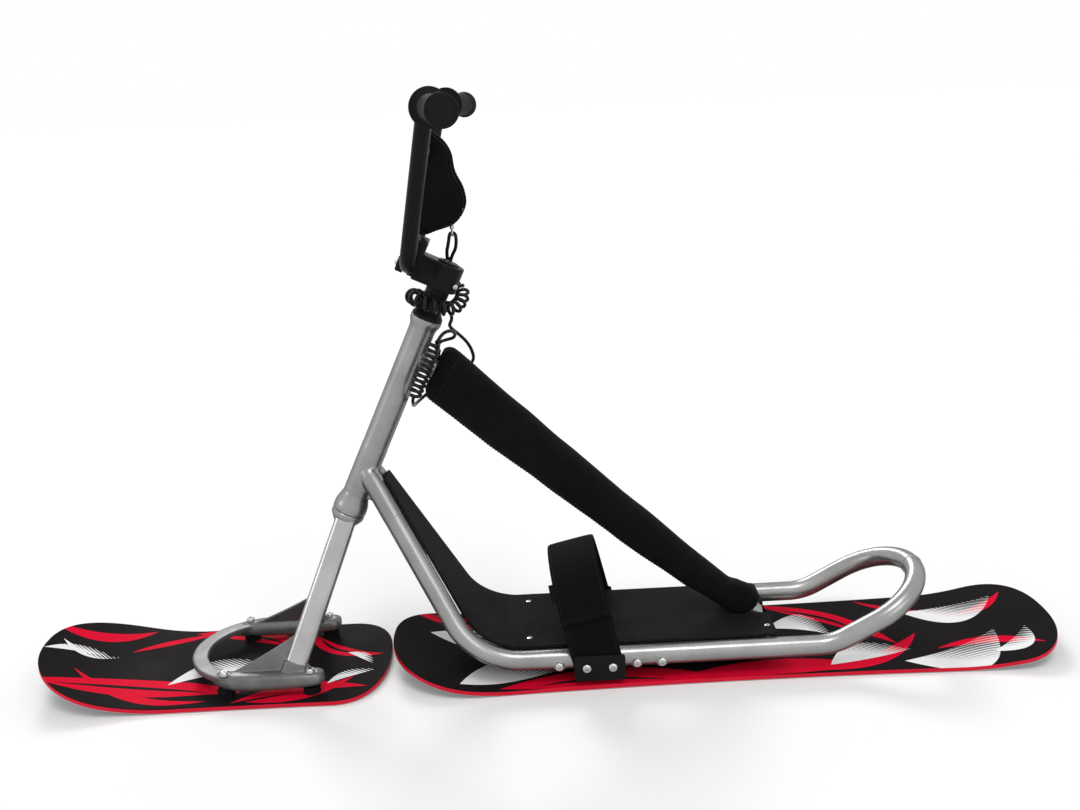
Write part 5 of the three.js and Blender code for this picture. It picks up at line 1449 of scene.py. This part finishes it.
def arch_line(from_side, from_half, to_half, height, end_index):
    """A strap's line up from one rail and over the arch, as far as a row of the arch's shares."""
    rise = [mm(0, from_side * from_half * out, height * up) for out, up in ARCH_SHARES]
    kept = reversed(ARCH_SHARES[end_index:-1])
    fall = [mm(0, -from_side * to_half * out, height * up) for out, up in kept]
    turn = Matrix.Rotation(STRAP_LEAN, 4, "Y")
    return [turn @ spot + mm(STRAP_FOOT_X, 0, RAIL_Z) for spot in catmull_rom(rise + fall, 10)]


def band_profile():
    """A padded band's section: flat faces that swell a little between sewn edges."""
    half, thick = STRAP_WIDTH / 2, STRAP_THICKNESS / 2
    points = []
    for k in range(25):
        t = k / 12 - 1
        edge = STRAP_THINNING * abs(t) ** 8
        channel = CHANNEL_DEPTH * math.exp(-((abs(t) - CHANNEL_PLACE) / CHANNEL_WIDTH) ** 2)
        points.append((t * half, thick * (1 - edge) + STRAP_SWELL * (1 - t * t) - channel))
    return points + [(a, -b) for a, b in reversed(points)]


def make_strap():
    inner = OUTER_SIDE + SOFT_GAP + STRAP_THICKNESS / 2
    layer = STRAP_THICKNESS + SOFT_GAP
    profile = band_profile()
    ahead = Matrix.Rotation(STRAP_LEAN, 3, "Y") @ AHEAD
    centre = mm(STRAP_FOOT_X, 0, RAIL_Z)
    bands = (
        ("left", -1, inner - layer, STRAP_HEIGHT, len(ARCH_SHARES) - 3),
        ("right", 1, inner + layer, STRAP_HEIGHT + layer, 3),
    )

    def on_band(ring_frame, across_by, lift):
        spot, across, over = ring_frame
        outward = over if over.dot(spot - centre) > 0 else -over
        return spot + (across * across_by + outward * (STRAP_THICKNESS / 2 + lift)) * MM

    def away(spot):
        return (spot - centre).normalized()

    for hand, side, to_half, height, end_index in bands:
        line = arch_line(side, inner, to_half, height, end_index)
        piece = sweep(f"{hand}_strap_band", line, lambda _: profile, ahead)
        round_edges(piece, 0.7, 2, 60)
        finish_piece(piece, "frame", "webbing", f"{hand}_foot_strap", sharp=70)
        frames = ring_frames(line, ahead)
        for edge, label in ((-1, "front"), (1, "back")):
            row = [on_band(one, edge * (STRAP_WIDTH / 2 - STRAP_HEM), 0.05) for one in frames[2:]]
            stitches(f"{hand}_strap_stitches_{label}", row, away, "frame")
        ends = [on_band(frames[-3], t * (STRAP_WIDTH / 2 - STRAP_END_HEM), 0.1) for t in (-1, 0, 1)]
        stitches(f"{hand}_strap_stitches_end", ends, away, "frame")
    make_strap_tab(inner + layer, ahead)


def make_strap_tab(half, ahead):
    """The folded pull tab on the front edge of the outer band."""
    line = arch_line(-1, half, half, STRAP_HEIGHT + STRAP_THICKNESS + SOFT_GAP, len(ARCH_SHARES) - 1)
    base = [spot - ahead * (STRAP_WIDTH / 2 + 2.2) * MM for spot in line[slice(*TAB_SPOTS)]]
    profile = round_box(8, 2.6, 1.1, 3)
    finish_piece(sweep("strap_pull_tab", base, lambda _: profile, ahead), "frame", "binding")


def make_strap_plates():
    from_y = OUTER_SIDE + 2 * SOFT_GAP + STRAP_THICKNESS
    middle_x, middle_z = (BOLT_XS[1] + BOLT_XS[2]) / 2, RAIL_Z - PLATE_DROP
    outline = [(middle_x + a, middle_z + b) for a, b in round_box(PLATE_WIDTH, PLATE_HEIGHT, 4, 5)]
    for hand, side in HANDS:
        piece = slab(f"{hand}_strap_clamp_plate", outline, 0, PLATE_DEPTH)
        swap = Matrix(((1, 0, 0, 0), (0, 0, side, side * from_y * MM), (0, 1, 0, 0), (0, 0, 0, 1)))
        piece.data.transform(swap)
        clean_up(piece.data)
        round_edges(piece, 0.6, 2, 40)
        finish_piece(piece, "frame", "black_alloy", f"{hand}_strap_plate")


def button_bolt(name, spot, direction, head, shank, body, *nodes, washer=0.0):
    """A round-headed bolt with a six-sided socket, and a washer under its head.

    head is its radius and height, and shank its radius and length.
    """
    (wide, high), (thin, long) = head, shank
    profile = [(0, -long), (thin, -long), (thin, 0), (wide * 0.97, 0)]
    for k in range(8):
        turn = math.pi / 2 * k / 8
        fall = 1 - math.cos(turn)
        profile.append((wide * (1 - 0.55 * fall - 0.45 * fall ** 2), high * (0.14 + 0.86 * math.sin(turn))))
    profile += [(wide * 0.5, high), (0, high)]
    bolt = turned(name, profile, spot, direction, 36)
    carve(bolt, hex_key(spot + direction * high * MM, direction, wide * 0.42, high * 0.62))
    finish_piece(bolt, body, "bright_steel", *nodes, sharp=45)
    if washer:
        hole = thin + 0.2
        ring = [(hole, -1.1), (washer, -1.1), (washer, -0.2), (washer - 0.3, 0), (hole, 0), (hole, -1.1)]
        finish_piece(turned(name + "_washer", ring, spot, direction, 36), body, "bright_steel")


def make_rail_bolts():
    for hand, side in HANDS:
        for i, x in enumerate(BOLT_XS):
            stack = STRAP_THICKNESS + PLATE_DEPTH + 2 * SOFT_GAP if i in STRAPPED else 0
            spot = mm(x, side * (OUTER_SIDE + stack + GAP), BOLT_Z)
            node = f"{hand}_rail_bolt_{i + 1}"
            button_bolt(node + "_steel", spot, SIDE * side, (6.8, 4.6), (3.2, stack + 11.5), "frame", node)
            if not stack:
                seat = turned(node + "_seat", SEAT_PROFILE, spot, SIDE * side, 36)
                finish_piece(seat, "frame", "satin_alloy")


# Fork and horseshoe

LEG_TOP = (13.0, -6.0)
LEG_LENGTH, LEG_WIDTH, LEG_SQUARENESS = 32.0, 18.0, 2.35
LEG_SHARES = ((0, 0.98), (0.16, 0.98), (0.175, 0.985), (0.185, 0.995), (0.192, 1), (0.6, 1), (0.97, 1))
LEG_FOOT = mm(-366, 84, 27)
FRONT_DAMPER_HEIGHT = 6.5
POD_LOW = BOARD_THICKNESS + FRONT_DAMPER_HEIGHT + 2 * GAP
POD_HEIGHT, POD_SEAT_SHARE = 26.0, 0.723
POD_FRONT_X, POD_REAR_X, POD_SPREAD, POD_HALF_WIDTH = -482.0, -318.0, 87.0, 17.5
POD_TOP = POD_LOW + POD_HEIGHT
POD_SHARES = (
    (0, 0.35), (0.03, 0.62), (0.09, 0.84), (0.2, 0.97), (0.35, 1), (0.8, 1), (0.94, 0.93), (0.985, 0.75),
    (1, 0.5),
)
POD_RINGS, POD_SIDES, POD_SQUARENESS = 48, 40, 2.5
POD_NOSE_DRAW, POD_NOSE_SHARE = 9.0, 0.3
POD_TIP, POD_TIP_GROWTH, POD_TIP_SHARE = 0.72, 0.28, 0.22
POD_BELLY, POD_BELLY_POWER = 0.42, 2.6
BAND_INNER, BAND_OUTER, BAND_CENTRE, BAND_TAIL = 77.5, 101.0, -429.0, 30.0
BAND_LOW, BAND_HIGH = POD_TOP - 12, POD_TOP - 3
WEB_PLACES, WEB_SAG, WEB_HALF_THICKNESS = ((-466, 100), (-333, 65)), 0.1, 3
COLLAR_HEIGHT, COLLAR_WALL = 15, (5, 4)
CASTING_CELL, CASTING_SMOOTHING = 1.3, 7
FRONT_BOLTS = (("front", -462.7, 87.5), ("rear", -336.0, 90.5))
FRONT_RUBBER_SUNK = 3
CROWN_PROFILE = (
    (0, -30), (11, -30), (12, -29), (16, -22), (21.5, -13.5), (24, -9.6), (24.5, -8.4), (24.5, -2.2),
    (23.4, -0.9), (16.2, -0.9), (14.3, 0), (14.3, 398.7), (0, 398.7),
)
SEAL_PROFILE = ((15, -0.85), (23.4, -0.85), (23.9, -0.45), (23.4, -0.05), (15, -0.05), (15, -0.85))


def make_crown():
    turned_piece(
        "crown_and_steerer", CROWN_PROFILE, "steering", "satin_alloy", "fork_crown", sides=64, sharp=30,
    )
    turned_piece("lower_seal", SEAL_PROFILE, "steering", "damper_rubber", sides=64)


def leg_axis(side):
    top = on_column(0, side * LEG_TOP[0], LEG_TOP[1])
    return top, Vector((LEG_FOOT.x, side * LEG_FOOT.y, LEG_FOOT.z))


def leg_at(side, height):
    """The place on a leg's axis at a height."""
    top, foot = leg_axis(side)
    return top.lerp(foot, (top.z - height * MM) / (top.z - foot.z))


def make_legs():
    halves = [(LEG_LENGTH / 2 * size, LEG_WIDTH / 2 * size) for _, size in LEG_SHARES]
    profiles = [squared_oval(deep, wide, 48, LEG_SQUARENESS) for deep, wide in halves]
    for hand, side in HANDS:
        top, foot = leg_axis(side)
        line = [top.lerp(foot, along) for along, _ in LEG_SHARES]
        piece = sweep(f"{hand}_leg_tube", line, lambda i: profiles[i], AHEAD)
        finish_piece(piece, "steering", "leg_alloy", f"{hand}_fork_leg", sharp=50)


def pod(side):
    """A side rail of the casting, which thins towards its ends and draws inward at its nose."""
    middle_z = POD_LOW + POD_HEIGHT / 2
    rings = []
    for k in range(POD_RINGS + 1):
        share = k / POD_RINGS
        size = between(POD_SHARES, share)[0]
        x = POD_FRONT_X + (POD_REAR_X - POD_FRONT_X) * share
        high = POD_HEIGHT / 2 * (0.4 + 0.6 * size)
        spread = POD_SPREAD - POD_NOSE_DRAW * max(0.0, 1 - share / POD_NOSE_SHARE) ** 2
        wide = POD_HALF_WIDTH * size * min(1.0, POD_TIP + POD_TIP_GROWTH * share / POD_TIP_SHARE)
        belly = 1 - POD_BELLY * abs(2 * share - 1) ** POD_BELLY_POWER
        oval = squared_oval(wide, high, POD_SIDES, POD_SQUARENESS)
        rings.append([mm(x, side * spread + y, middle_z + (z if z > 0 else z * belly)) for y, z in oval])
    return loft("pod", rings)


def band():
    """The round front of the casting, between its side rails."""
    end = BAND_CENTRE + BAND_TAIL
    outer, inner = (
        [(BAND_CENTRE - radius * math.sin(turn), radius * math.cos(turn)) for turn in half_turn(48)]
        for radius in (BAND_OUTER, BAND_INNER)
    )
    outline = [(end, BAND_OUTER), *outer, (end, -BAND_OUTER)]
    outline += [(end, -BAND_INNER), *inner[::-1], (end, BAND_INNER)]
    return slab("band", outline, BAND_LOW, BAND_HIGH)


def web(side, low_x, low_z, high_z):
    """A slanting web beside a leg, drawn in the side view and leaned with the leg."""
    high_x = leg_at(side, high_z).x / MM
    fold_share = (1 + WEB_SAG) / 2
    fold_x = low_x + (high_x - low_x) * fold_share
    fold_z = high_z + (low_z - high_z) * fold_share
    outline = []
    for k in range(13):
        t = k / 12
        low_part, fold_part, high_part = (1 - t) ** 2, 2 * t * (1 - t), t * t
        x = low_part * low_x + fold_part * fold_x + high_part * high_x
        outline.append((x, low_part * low_z + fold_part * fold_z + high_part * high_z))
    outline.append((leg_at(side, low_z).x / MM, low_z))
    piece = slab("web", outline, -WEB_HALF_THICKNESS, WEB_HALF_THICKNESS)
    for vertex in piece.data.vertices:
        x, z, y = vertex.co
        vertex.co = Vector((x, leg_at(side, z / MM).y + y, z))
    clean_up(piece.data)
    return piece


def make_horseshoe():
    """One casting: two side rails, the round band before them, and the webs beside the legs."""
    seat = POD_LOW + POD_HEIGHT * POD_SEAT_SHARE
    collar_profile = round_box(LEG_LENGTH + COLLAR_WALL[0], LEG_WIDTH + COLLAR_WALL[1], 10, 6)
    piece = band()
    others = []
    for _, side in HANDS:
        others.append(pod(side))
        others += [web(side, low_x, seat, high_z) for low_x, high_z in WEB_PLACES]
        top, foot = leg_axis(side)
        line = [leg_at(side, seat + COLLAR_HEIGHT), foot.lerp(top, 0.01)]
        others.append(sweep("collar", line, lambda _: collar_profile, AHEAD))
    melt(piece, others, CASTING_CELL, CASTING_SMOOTHING)
    for _, x, spread in FRONT_BOLTS:
        for _, side in HANDS:
            carve(piece, turned("seat", [(7.6, -0.8), (7.6, 6)], mm(x, side * spread, POD_TOP), UP, 32))
    finish_piece(piece, "steering", "cast_alloy", "horseshoe", sharp=60)


def make_front_dampers():
    """The rubbers go up into the casting, and the bolts stand on top of it."""
    high = FRONT_DAMPER_HEIGHT + FRONT_RUBBER_SUNK
    profile = [
        (4.3, 0), (12.6, 0), (13, 0.4), (13, 1.4), (12.3, 2), (12.3, high - 2), (13, high - 1.4),
        (13, high - 0.4), (12.6, high), (4.3, high), (4.3, 0),
    ]
    for end, x, spread in FRONT_BOLTS:
        for hand, side in HANDS:
            base = mm(x, side * spread, BOARD_THICKNESS + GAP)
            piece = turned(f"front_damper_{end}_{hand}_rubber", profile, base, UP, 40)
            finish_piece(piece, "steering", "damper_rubber", f"front_board_damper_{end}_{hand}")
            top = mm(x, side * spread, POD_TOP + GAP)
            node = f"front_board_bolt_{end}_{hand}"
            button_bolt(node + "_steel", top, UP, (6.3, 4.6), (4, POD_TOP - 2), "steering", node, washer=7.4)


# Headset, stem and bars

STEM_BASE, STEM_TOP = 361.0, 399.0
BAR_RADIUS = 11.1
BAR_CLAMP_FORWARD, BAR_CLAMP_HEIGHT = 50.0, 382.0
BAR_LOWER_SPREAD, BAR_UPPER_SPREAD, BAR_UPPER_RISE, BAR_UPPER_BACK = 66.0, 133.0, 209.0, 44.5
BAR_HALF_WIDTH, BAR_END_BACK, BAR_END_DROP = 300.0, 30.2, 3.5
CROSSBAR_RISE, CROSSBAR_RADIUS = 150.0, 8.0
BAR_BENDS, BAR_BEND_STEPS = (38, 34, 34, 38), 16
CUFF_CENTRE, CUFF_WIDTH = 20.0, 56.0
COVER_HEIGHT = 12
COVER_PROFILE = (
    (14.6, 0), (22.0, 0), (22.6, 0.5), (22.6, 3.6), (22.1, 4.4), (19.4, 8.6), (17.4, 11.4),
    (17, COVER_HEIGHT), (14.6, COVER_HEIGHT), (14.6, 0),
)
SPACER_COUNT, JOINT_PROFILE = 4, ((17, -0.7), (16.3, -0.2), (16.3, 0.2), (17, 0.7))
FACE_HEIGHT, FACE_LOW_SHARE, FACE_DEPTH, FACE_SPLIT = 53, 0.32, 16, 0.6
FACE_ROWS = (("low", 11), ("high", FACE_HEIGHT - 9))
PINCH_BOLT_X, PINCH_BOLT_RISE, PINCH_SEAT_Y = 20, 12, -10.1
STEM_RADIUS, STEM_BORE, STEM_SLOT = 24, 14.6, (8, 48)
NECK_FRONT, NECK_HALF, BLOCK_BACK, FACE_HALF, FACE_BOLT_SIDE = -42, 19, -36, 25, 17
CAP_PROFILE = ((0, -0.2), (14.2, -0.2), (15.6, 0.3), (15.6, 1.6), (14.6, 2.4), (5, 3), (0, 3))


def make_headset():
    base = HEAD_TUBE_LENGTH + GAP
    cover = [(radius, base + along) for radius, along in COVER_PROFILE]
    turned_piece("headset_top_cover", cover, "steering", "black_plastic", "headset_cover", sides=56)
    low, top = base + COVER_HEIGHT + GAP, STEM_BASE - GAP
    rings = [(14.6, low), (16.4, low), (17, low + 0.6)]
    for k in range(1, SPACER_COUNT):
        joint = low + (top - low) * k / SPACER_COUNT
        rings += [(radius, joint + along) for radius, along in JOINT_PROFILE]
    rings += [(17, top - 0.6), (16.4, top), (14.6, top), (14.6, low)]
    turned_piece("headset_spacers", rings, "steering", "black_plastic", "headset_spacer", sides=56)


def bar_space():
    """The bar's hole through the clamp."""
    ends = [(-BAR_CLAMP_FORWARD, across, BAR_CLAMP_HEIGHT) for across in (-31, 31)]
    return column_rod("bar_space", *ends, BAR_RADIUS + GAP, 48)


def make_stem():
    low = BAR_CLAMP_HEIGHT - FACE_HEIGHT * FACE_LOW_SHARE
    high = low + FACE_HEIGHT
    split = -BAR_CLAMP_FORWARD - FACE_SPLIT
    bolt_height = STEM_BASE + PINCH_BOLT_RISE
    stem = round_edges(column_rod("stem_body", (0, 0, STEM_BASE), (0, 0, STEM_TOP), STEM_RADIUS, 56), 1.6, 3)
    neck = column_box("neck", (NECK_FRONT, -NECK_HALF, STEM_BASE), (0, NECK_HALF, STEM_TOP))
    block = column_box("block", (split + 1.2, -FACE_HALF, low), (BLOCK_BACK, FACE_HALF, high))
    for solid in (neck, block):
        round_edges(solid, 2.5, 3)
    fuse(stem, neck, block)
    carve(
        stem,
        column_rod("steerer_space", (0, 0, STEM_BASE - 6), (0, 0, STEM_TOP + 6), STEM_BORE, 56),
        column_box("slot", (STEM_SLOT[0], -1, STEM_BASE - 6), (STEM_SLOT[1], 1, STEM_TOP + 6)),
        bar_space(),
        column_rod("bolt_seat", *((PINCH_BOLT_X, y, bolt_height) for y in (-30, PINCH_SEAT_Y)), 5.0, 32),
    )
    finish_piece(stem, "steering", "black_alloy", "stem")
    face = column_box("stem_face", (split - FACE_DEPTH, -FACE_HALF, low), (split, FACE_HALF, high))
    round_edges(face, 2.5, 3)
    carve(face, column_box("notch", (split - 5, -31, low - 6), (split + 6, 31, low + 5)), bar_space())
    finish_piece(face, "steering", "black_alloy", "stem_face_plate")
    for row, rise in FACE_ROWS:
        for hand, side in HANDS:
            spot = on_column(split - FACE_DEPTH + 0.1, side * FACE_BOLT_SIDE, low + rise)
            button_bolt(f"stem_face_bolt_{row}_{hand}", spot, -column_back, (4.6, 3.2), (2.4, 6), "steering")
    spot = on_column(PINCH_BOLT_X, -10.38, bolt_height)
    button_bolt("stem_clamp_bolt", spot, -SIDE, (4.5, 4), (2.6, 19), "steering", "stem_pinch_bolt")
    cap = [(radius, STEM_TOP + along) for radius, along in CAP_PROFILE]
    turned_piece("steerer_cap", cap, "steering", "black_plastic")


def bar_corners(side):
    middle = on_column(-BAR_CLAMP_FORWARD, 0, BAR_CLAMP_HEIGHT)
    return [
        middle + mm(0, side * BAR_LOWER_SPREAD, 0),
        middle + mm(BAR_UPPER_BACK, side * BAR_UPPER_SPREAD, BAR_UPPER_RISE),
        middle + mm(BAR_UPPER_BACK + BAR_END_BACK, side * BAR_HALF_WIDTH, BAR_UPPER_RISE - BAR_END_DROP),
    ]


def make_bars():
    """The bar with its crossbar, the crossbar's welds, and the grips."""
    corners = bar_corners(-1)[::-1] + bar_corners(1)
    piece = tube("handlebar_tube", bent_line(corners, BAR_BENDS, BAR_BEND_STEPS), BAR_RADIUS, 40)
    finish_piece(piece, "steering", "black_alloy", "handlebar")
    ends = crossbar_ends()
    piece = tube("crossbar_tube", [ends[0], (ends[0] + ends[1]) / 2, ends[1]], CROSSBAR_RADIUS, 32)
    finish_piece(piece, "steering", "black_alloy")
    for (hand, side), end in zip(HANDS, ends):
        low, high, tip = bar_corners(side)
        climb = (high - low).normalized()
        over = climb.cross(SIDE).normalized()
        ring = []
        for a, b in circle(CROSSBAR_RADIUS * MM, 48):
            inward = math.sqrt(max(0.0, (BAR_RADIUS * MM) ** 2 - a * a))
            ring.append(end - SIDE * side * inward / max(0.3, climb.z) + over * a + UP * b)
        weld_bead(f"crossbar_weld_{hand}", ring, "steering", "black_alloy", radius=1.3)
        make_grip(hand, tip, (tip - high).normalized())


GRIP_LENGTH, GRIP_SMOOTH_END, RIB_PITCH = 124.0, 14.0, 4.4
GRIP_COLLAR = ((17.8, 0), (18.5, 0.7), (18.5, 7.2), (17.6, 8.2), (16.6, 10.4))
GRIP_RIB = ((16.5, 0), (15.6, 0.5), (15.6, 1.5), (16.5, 2.0))
GRIP_FLANGE = ((16.6, -8), (18.6, -5.4), (23.6, -3.9), (24.6, -3.3), (25, -2.4), (25, -0.9), (24.4, 0))
PLUG_PROFILE = (
    (0, -21), (7.9, -21), (8.6, -20), (8.6, 0.3), (19.4, 0.3), (20, 0.9), (20, 2.9), (19.2, 3.7),
    (17.4, 4.3), (16.6, 3.9), (16.0, 3.9), (15.4, 4.5), (6, 4.9), (0, 5),
)
PLUG_RING_PROFILE = ((16.9, 4.05), (16.2, 4.15), (16.2, 4.0), (16.9, 3.9), (16.9, 4.05))


def make_grip(hand, tip, out):
    """A ribbed rubber grip, with a flange at its inner end and a collar at the outer one, and its plug."""
    bore = BAR_RADIUS + 0.25
    profile = [(bore, 0), *GRIP_COLLAR]
    position = GRIP_SMOOTH_END
    while position < GRIP_LENGTH - GRIP_SMOOTH_END:
        profile += [(radius, position + along) for radius, along in GRIP_RIB]
        position += RIB_PITCH
    profile += [(radius, GRIP_LENGTH + along) for radius, along in GRIP_FLANGE]
    profile += [(bore, GRIP_LENGTH), (bore, 0)]
    sleeve = turned(f"{hand}_grip_sleeve", profile, tip, -out, 56)
    finish_piece(sleeve, "steering", "grip_rubber", f"{hand}_grip")
    plug = turned(f"{hand}_end_plug", PLUG_PROFILE, tip, out, 56)
    finish_piece(plug, "steering", "black_plastic", f"{hand}_bar_plug", sharp=30)
    ring = turned(f"{hand}_plug_ring", PLUG_RING_PROFILE, tip, out, 56)
    finish_piece(ring, "steering", "black_alloy")


# Wrist cuff

CUFF_DEPTH, CUFF_HEIGHT, CUFF_RISE, CUFF_FORWARD = 66.0, 138.0, 25.0, 19.0
CUFF_SHARES = (
    (0.12, 0.97), (0.32, 1), (0.62, 0.89), (0.76, 0.77), (0.81, 0.59), (0.97, 0.42), (1, 0.26), (0.78, 0.1),
    (0.38, 0.03), (0.1, 0), (0, 0.12), (0.02, 0.5), (0, 0.8),
)


CUFF_LAYERS, CUFF_BORE, CUFF_SEWN, CUFF_PIPED = 25, CROSSBAR_RADIUS + 0.5, 0.88, 0.9
CUFF_END_DRAW, CUFF_RIDGE, CUFF_RIDGE_PLACE, CUFF_RIDGE_WIDTH = 5.5, 0.8, 0.82, 0.05
CUFF_GRAIN_DROP, CUFF_GRAIN_RADIUS = 50, 40


def make_cuff():
    """The padded cuff round the crossbar, with its piping and its strap."""
    _, right = crossbar_ends()
    corner = Vector((right.x - CUFF_FORWARD * MM, 0, right.z + (CUFF_RISE - CUFF_HEIGHT) * MM))
    outline = catmull_rom([mm(x * CUFF_DEPTH, z * CUFF_HEIGHT, 0) for x, z in CUFF_SHARES], 7, closed=True)
    middle = sum(outline, Vector()) / len(outline)

    def placed(spot, across):
        """A spot of the outline at a share of the cuff's half width."""
        return corner + Vector((spot.x, (CUFF_CENTRE + across * CUFF_WIDTH / 2) * MM, spot.y))

    def cuff_line(across, outward):
        """The whole outline at a share of the half width, set outward by some millimetres."""
        return [placed(spot + (spot - middle).normalized() * outward * MM, across) for spot in outline]

    def away(spot):
        return (spot - corner - Vector((middle.x, 0, middle.y))).normalized()

    rings = []
    for k in range(CUFF_LAYERS):
        t = 2 * k / (CUFF_LAYERS - 1) - 1
        ridge = CUFF_RIDGE * math.exp(-((abs(t) - CUFF_RIDGE_PLACE) / CUFF_RIDGE_WIDTH) ** 2)
        draw = CUFF_END_DRAW * abs(t) ** 5 - ridge
        ring = []
        for i, spot in enumerate(outline):
            inward = (middle - spot).normalized()
            flow = Vector((i * 0.22, t * 1.6, 7.0))
            wrinkle = noise.noise(flow) + 0.5 * noise.noise(flow * 2.3)
            ring.append(placed(spot + inward * (draw + wrinkle * (1 - t * t)) * MM, t))
        rings.append(ring)
    piece = loft("wrist_cuff_pad", rings)
    bar_middle = Vector((right.x, CUFF_CENTRE * MM, right.z))
    carve(piece, turned("hole", [(CUFF_BORE, -60), (CUFF_BORE, 60)], bar_middle, SIDE, 32))
    sewn = cuff_line(CUFF_SEWN, -3) + cuff_line(-CUFF_SEWN, -3)
    sewn += cuff_line(0, 0) + cuff_line(0.2, 0) + cuff_line(-0.2, 0)
    sewn += [bar_middle + mm(a, y, b) for y in range(-30, 31, 4) for a, b in circle(CUFF_BORE, 12)]
    plump(piece, sewn=sewn, **CUFF_CLOTH)
    lay_grain(piece, bar_middle - UP * CUFF_GRAIN_DROP * MM, SIDE, CUFF_GRAIN_RADIUS)
    finish_piece(piece, "steering", "pad_foam", "leash_cuff", sharp=75)
    piping_profile = circle(1.5, 10)
    for across, label in ((CUFF_PIPED, "right"), (-CUFF_PIPED, "left")):
        line = cuff_line(across, -1.6)
        piping = sweep(f"cuff_piping_{label}", line, lambda _: piping_profile, closed=True)
        finish_piece(piping, "steering", "binding")
    strap = sweep("cuff_strap", cuff_line(0, 1.2), lambda _: round_box(20, 1.8, 0.7, 2), SIDE, closed=True)
    finish_piece(strap, "steering", "webbing")
    for hand, side in HANDS:
        row = [spot + SIDE * side * 7.5 * MM for spot in cuff_line(0, 2.15)]
        stitches(f"cuff_stitches_{hand}", row, away, "steering")


# Stage

FLOOR_HALF, FLOOR_DROP, FLOOR_GLOW = 60.0, 0.0002, 0.1
WHITE = (1.0, 1.0, 1.0, 1.0)
WORLD_LIGHT, WORLD_SEEN = 0.55, 1.0
# Name, place in millimetres, strength, and softness in degrees
SUNS = (
    ("key", (200, -900, 2600), 0.7, 24),
    ("left", (-2500, -800, 900), 0.16, 14),
    ("side", (1600, -2200, 1500), 0.35, 30),
    ("back", (-600, 2400, 1900), 1.1, 20),
)


def make_stage():
    size = FLOOR_HALF
    corners = [(-size, -size, 0), (size, -size, 0), (size, size, 0), (-size, size, 0)]
    mesh = bpy.data.meshes.new("floor")
    mesh.from_pydata(corners, [], [(0, 1, 2, 3)])
    floor = new_object("floor", mesh)
    floor.location.z = -FLOOR_DROP
    material, tree, shader = start_material("floor", Roughness=0.9)
    soft = place(tree, groups["grain"], Place=own_place(tree), Scale=3.0, Detail=2.0)
    connect(tree, shader.inputs["Base Color"], blend_colours(tree, soft["Mask"], grey(0.86), grey(0.88)))
    path = add(tree, "LightPath")
    shader.inputs["Emission Color"].default_value = WHITE
    glow = calc(tree, "MULTIPLY", path.outputs["Is Camera Ray"], FLOOR_GLOW)
    connect(tree, shader.inputs["Emission Strength"], glow)
    mesh.materials.append(material)


def make_sun(name, from_mm, strength, softness):
    """A distant soft lamp that shines from a place towards the scooter's middle."""
    data = bpy.data.lights.new(name, "SUN")
    data.energy = strength
    data.angle = math.radians(softness)
    lamp = bpy.data.objects.new(name, data)
    lamp.location = mm(*from_mm)
    lamp.rotation_mode = "QUATERNION"
    lamp.rotation_quaternion = (-mm(*from_mm)).to_track_quat("-Z", "Y")
    scene.collection.objects.link(lamp)


def make_world():
    """A white surround that lights the scene less than it shows."""
    world = bpy.data.worlds.new("world")
    scene.world = world
    world.use_nodes = True
    tree = world.node_tree
    tree.nodes.clear()
    path = add(tree, "LightPath")
    seen = calc(tree, "ADD", path.outputs["Is Camera Ray"], path.outputs["Is Glossy Ray"])
    seen = calc(tree, "MINIMUM", calc(tree, "ADD", seen, path.outputs["Is Transmission Ray"]), 1.0)
    strength = add(tree, "MapRange", Value=seen, To_Min=WORLD_LIGHT, To_Max=WORLD_SEEN)
    background = add(tree, "Background", Color=WHITE, Strength=strength.outputs[0])
    output = add(tree, "OutputWorld")
    tree.links.new(background.outputs[0], output.inputs[0])


make_camera()
make_leash()
make_board("rear", "frame")
make_board("front", "steering")
make_frame_tubes()
turned_piece("head_tube_shell", HEAD_TUBE_PROFILE, "frame", "satin_alloy", "head_tube", sides=72, sharp=30)
make_head_joint()
make_top_tube()
make_bridges()
make_rear_dampers()
make_deck_front()
make_deck_rear()
make_pad_seams(make_pad())
make_strap()
make_strap_plates()
make_rail_bolts()
make_crown()
make_legs()
make_horseshoe()
make_front_dampers()
make_headset()
make_stem()
make_bars()
make_cuff()
for bearing in ("upper_bearing", "lower_bearing"):
    node = frame["nodes"][bearing]
    node.data.materials.clear()
    node.data.materials.append(finishes["bearing_steel"])
make_stage()
make_world()
for sun in SUNS:
    make_sun(*sun)
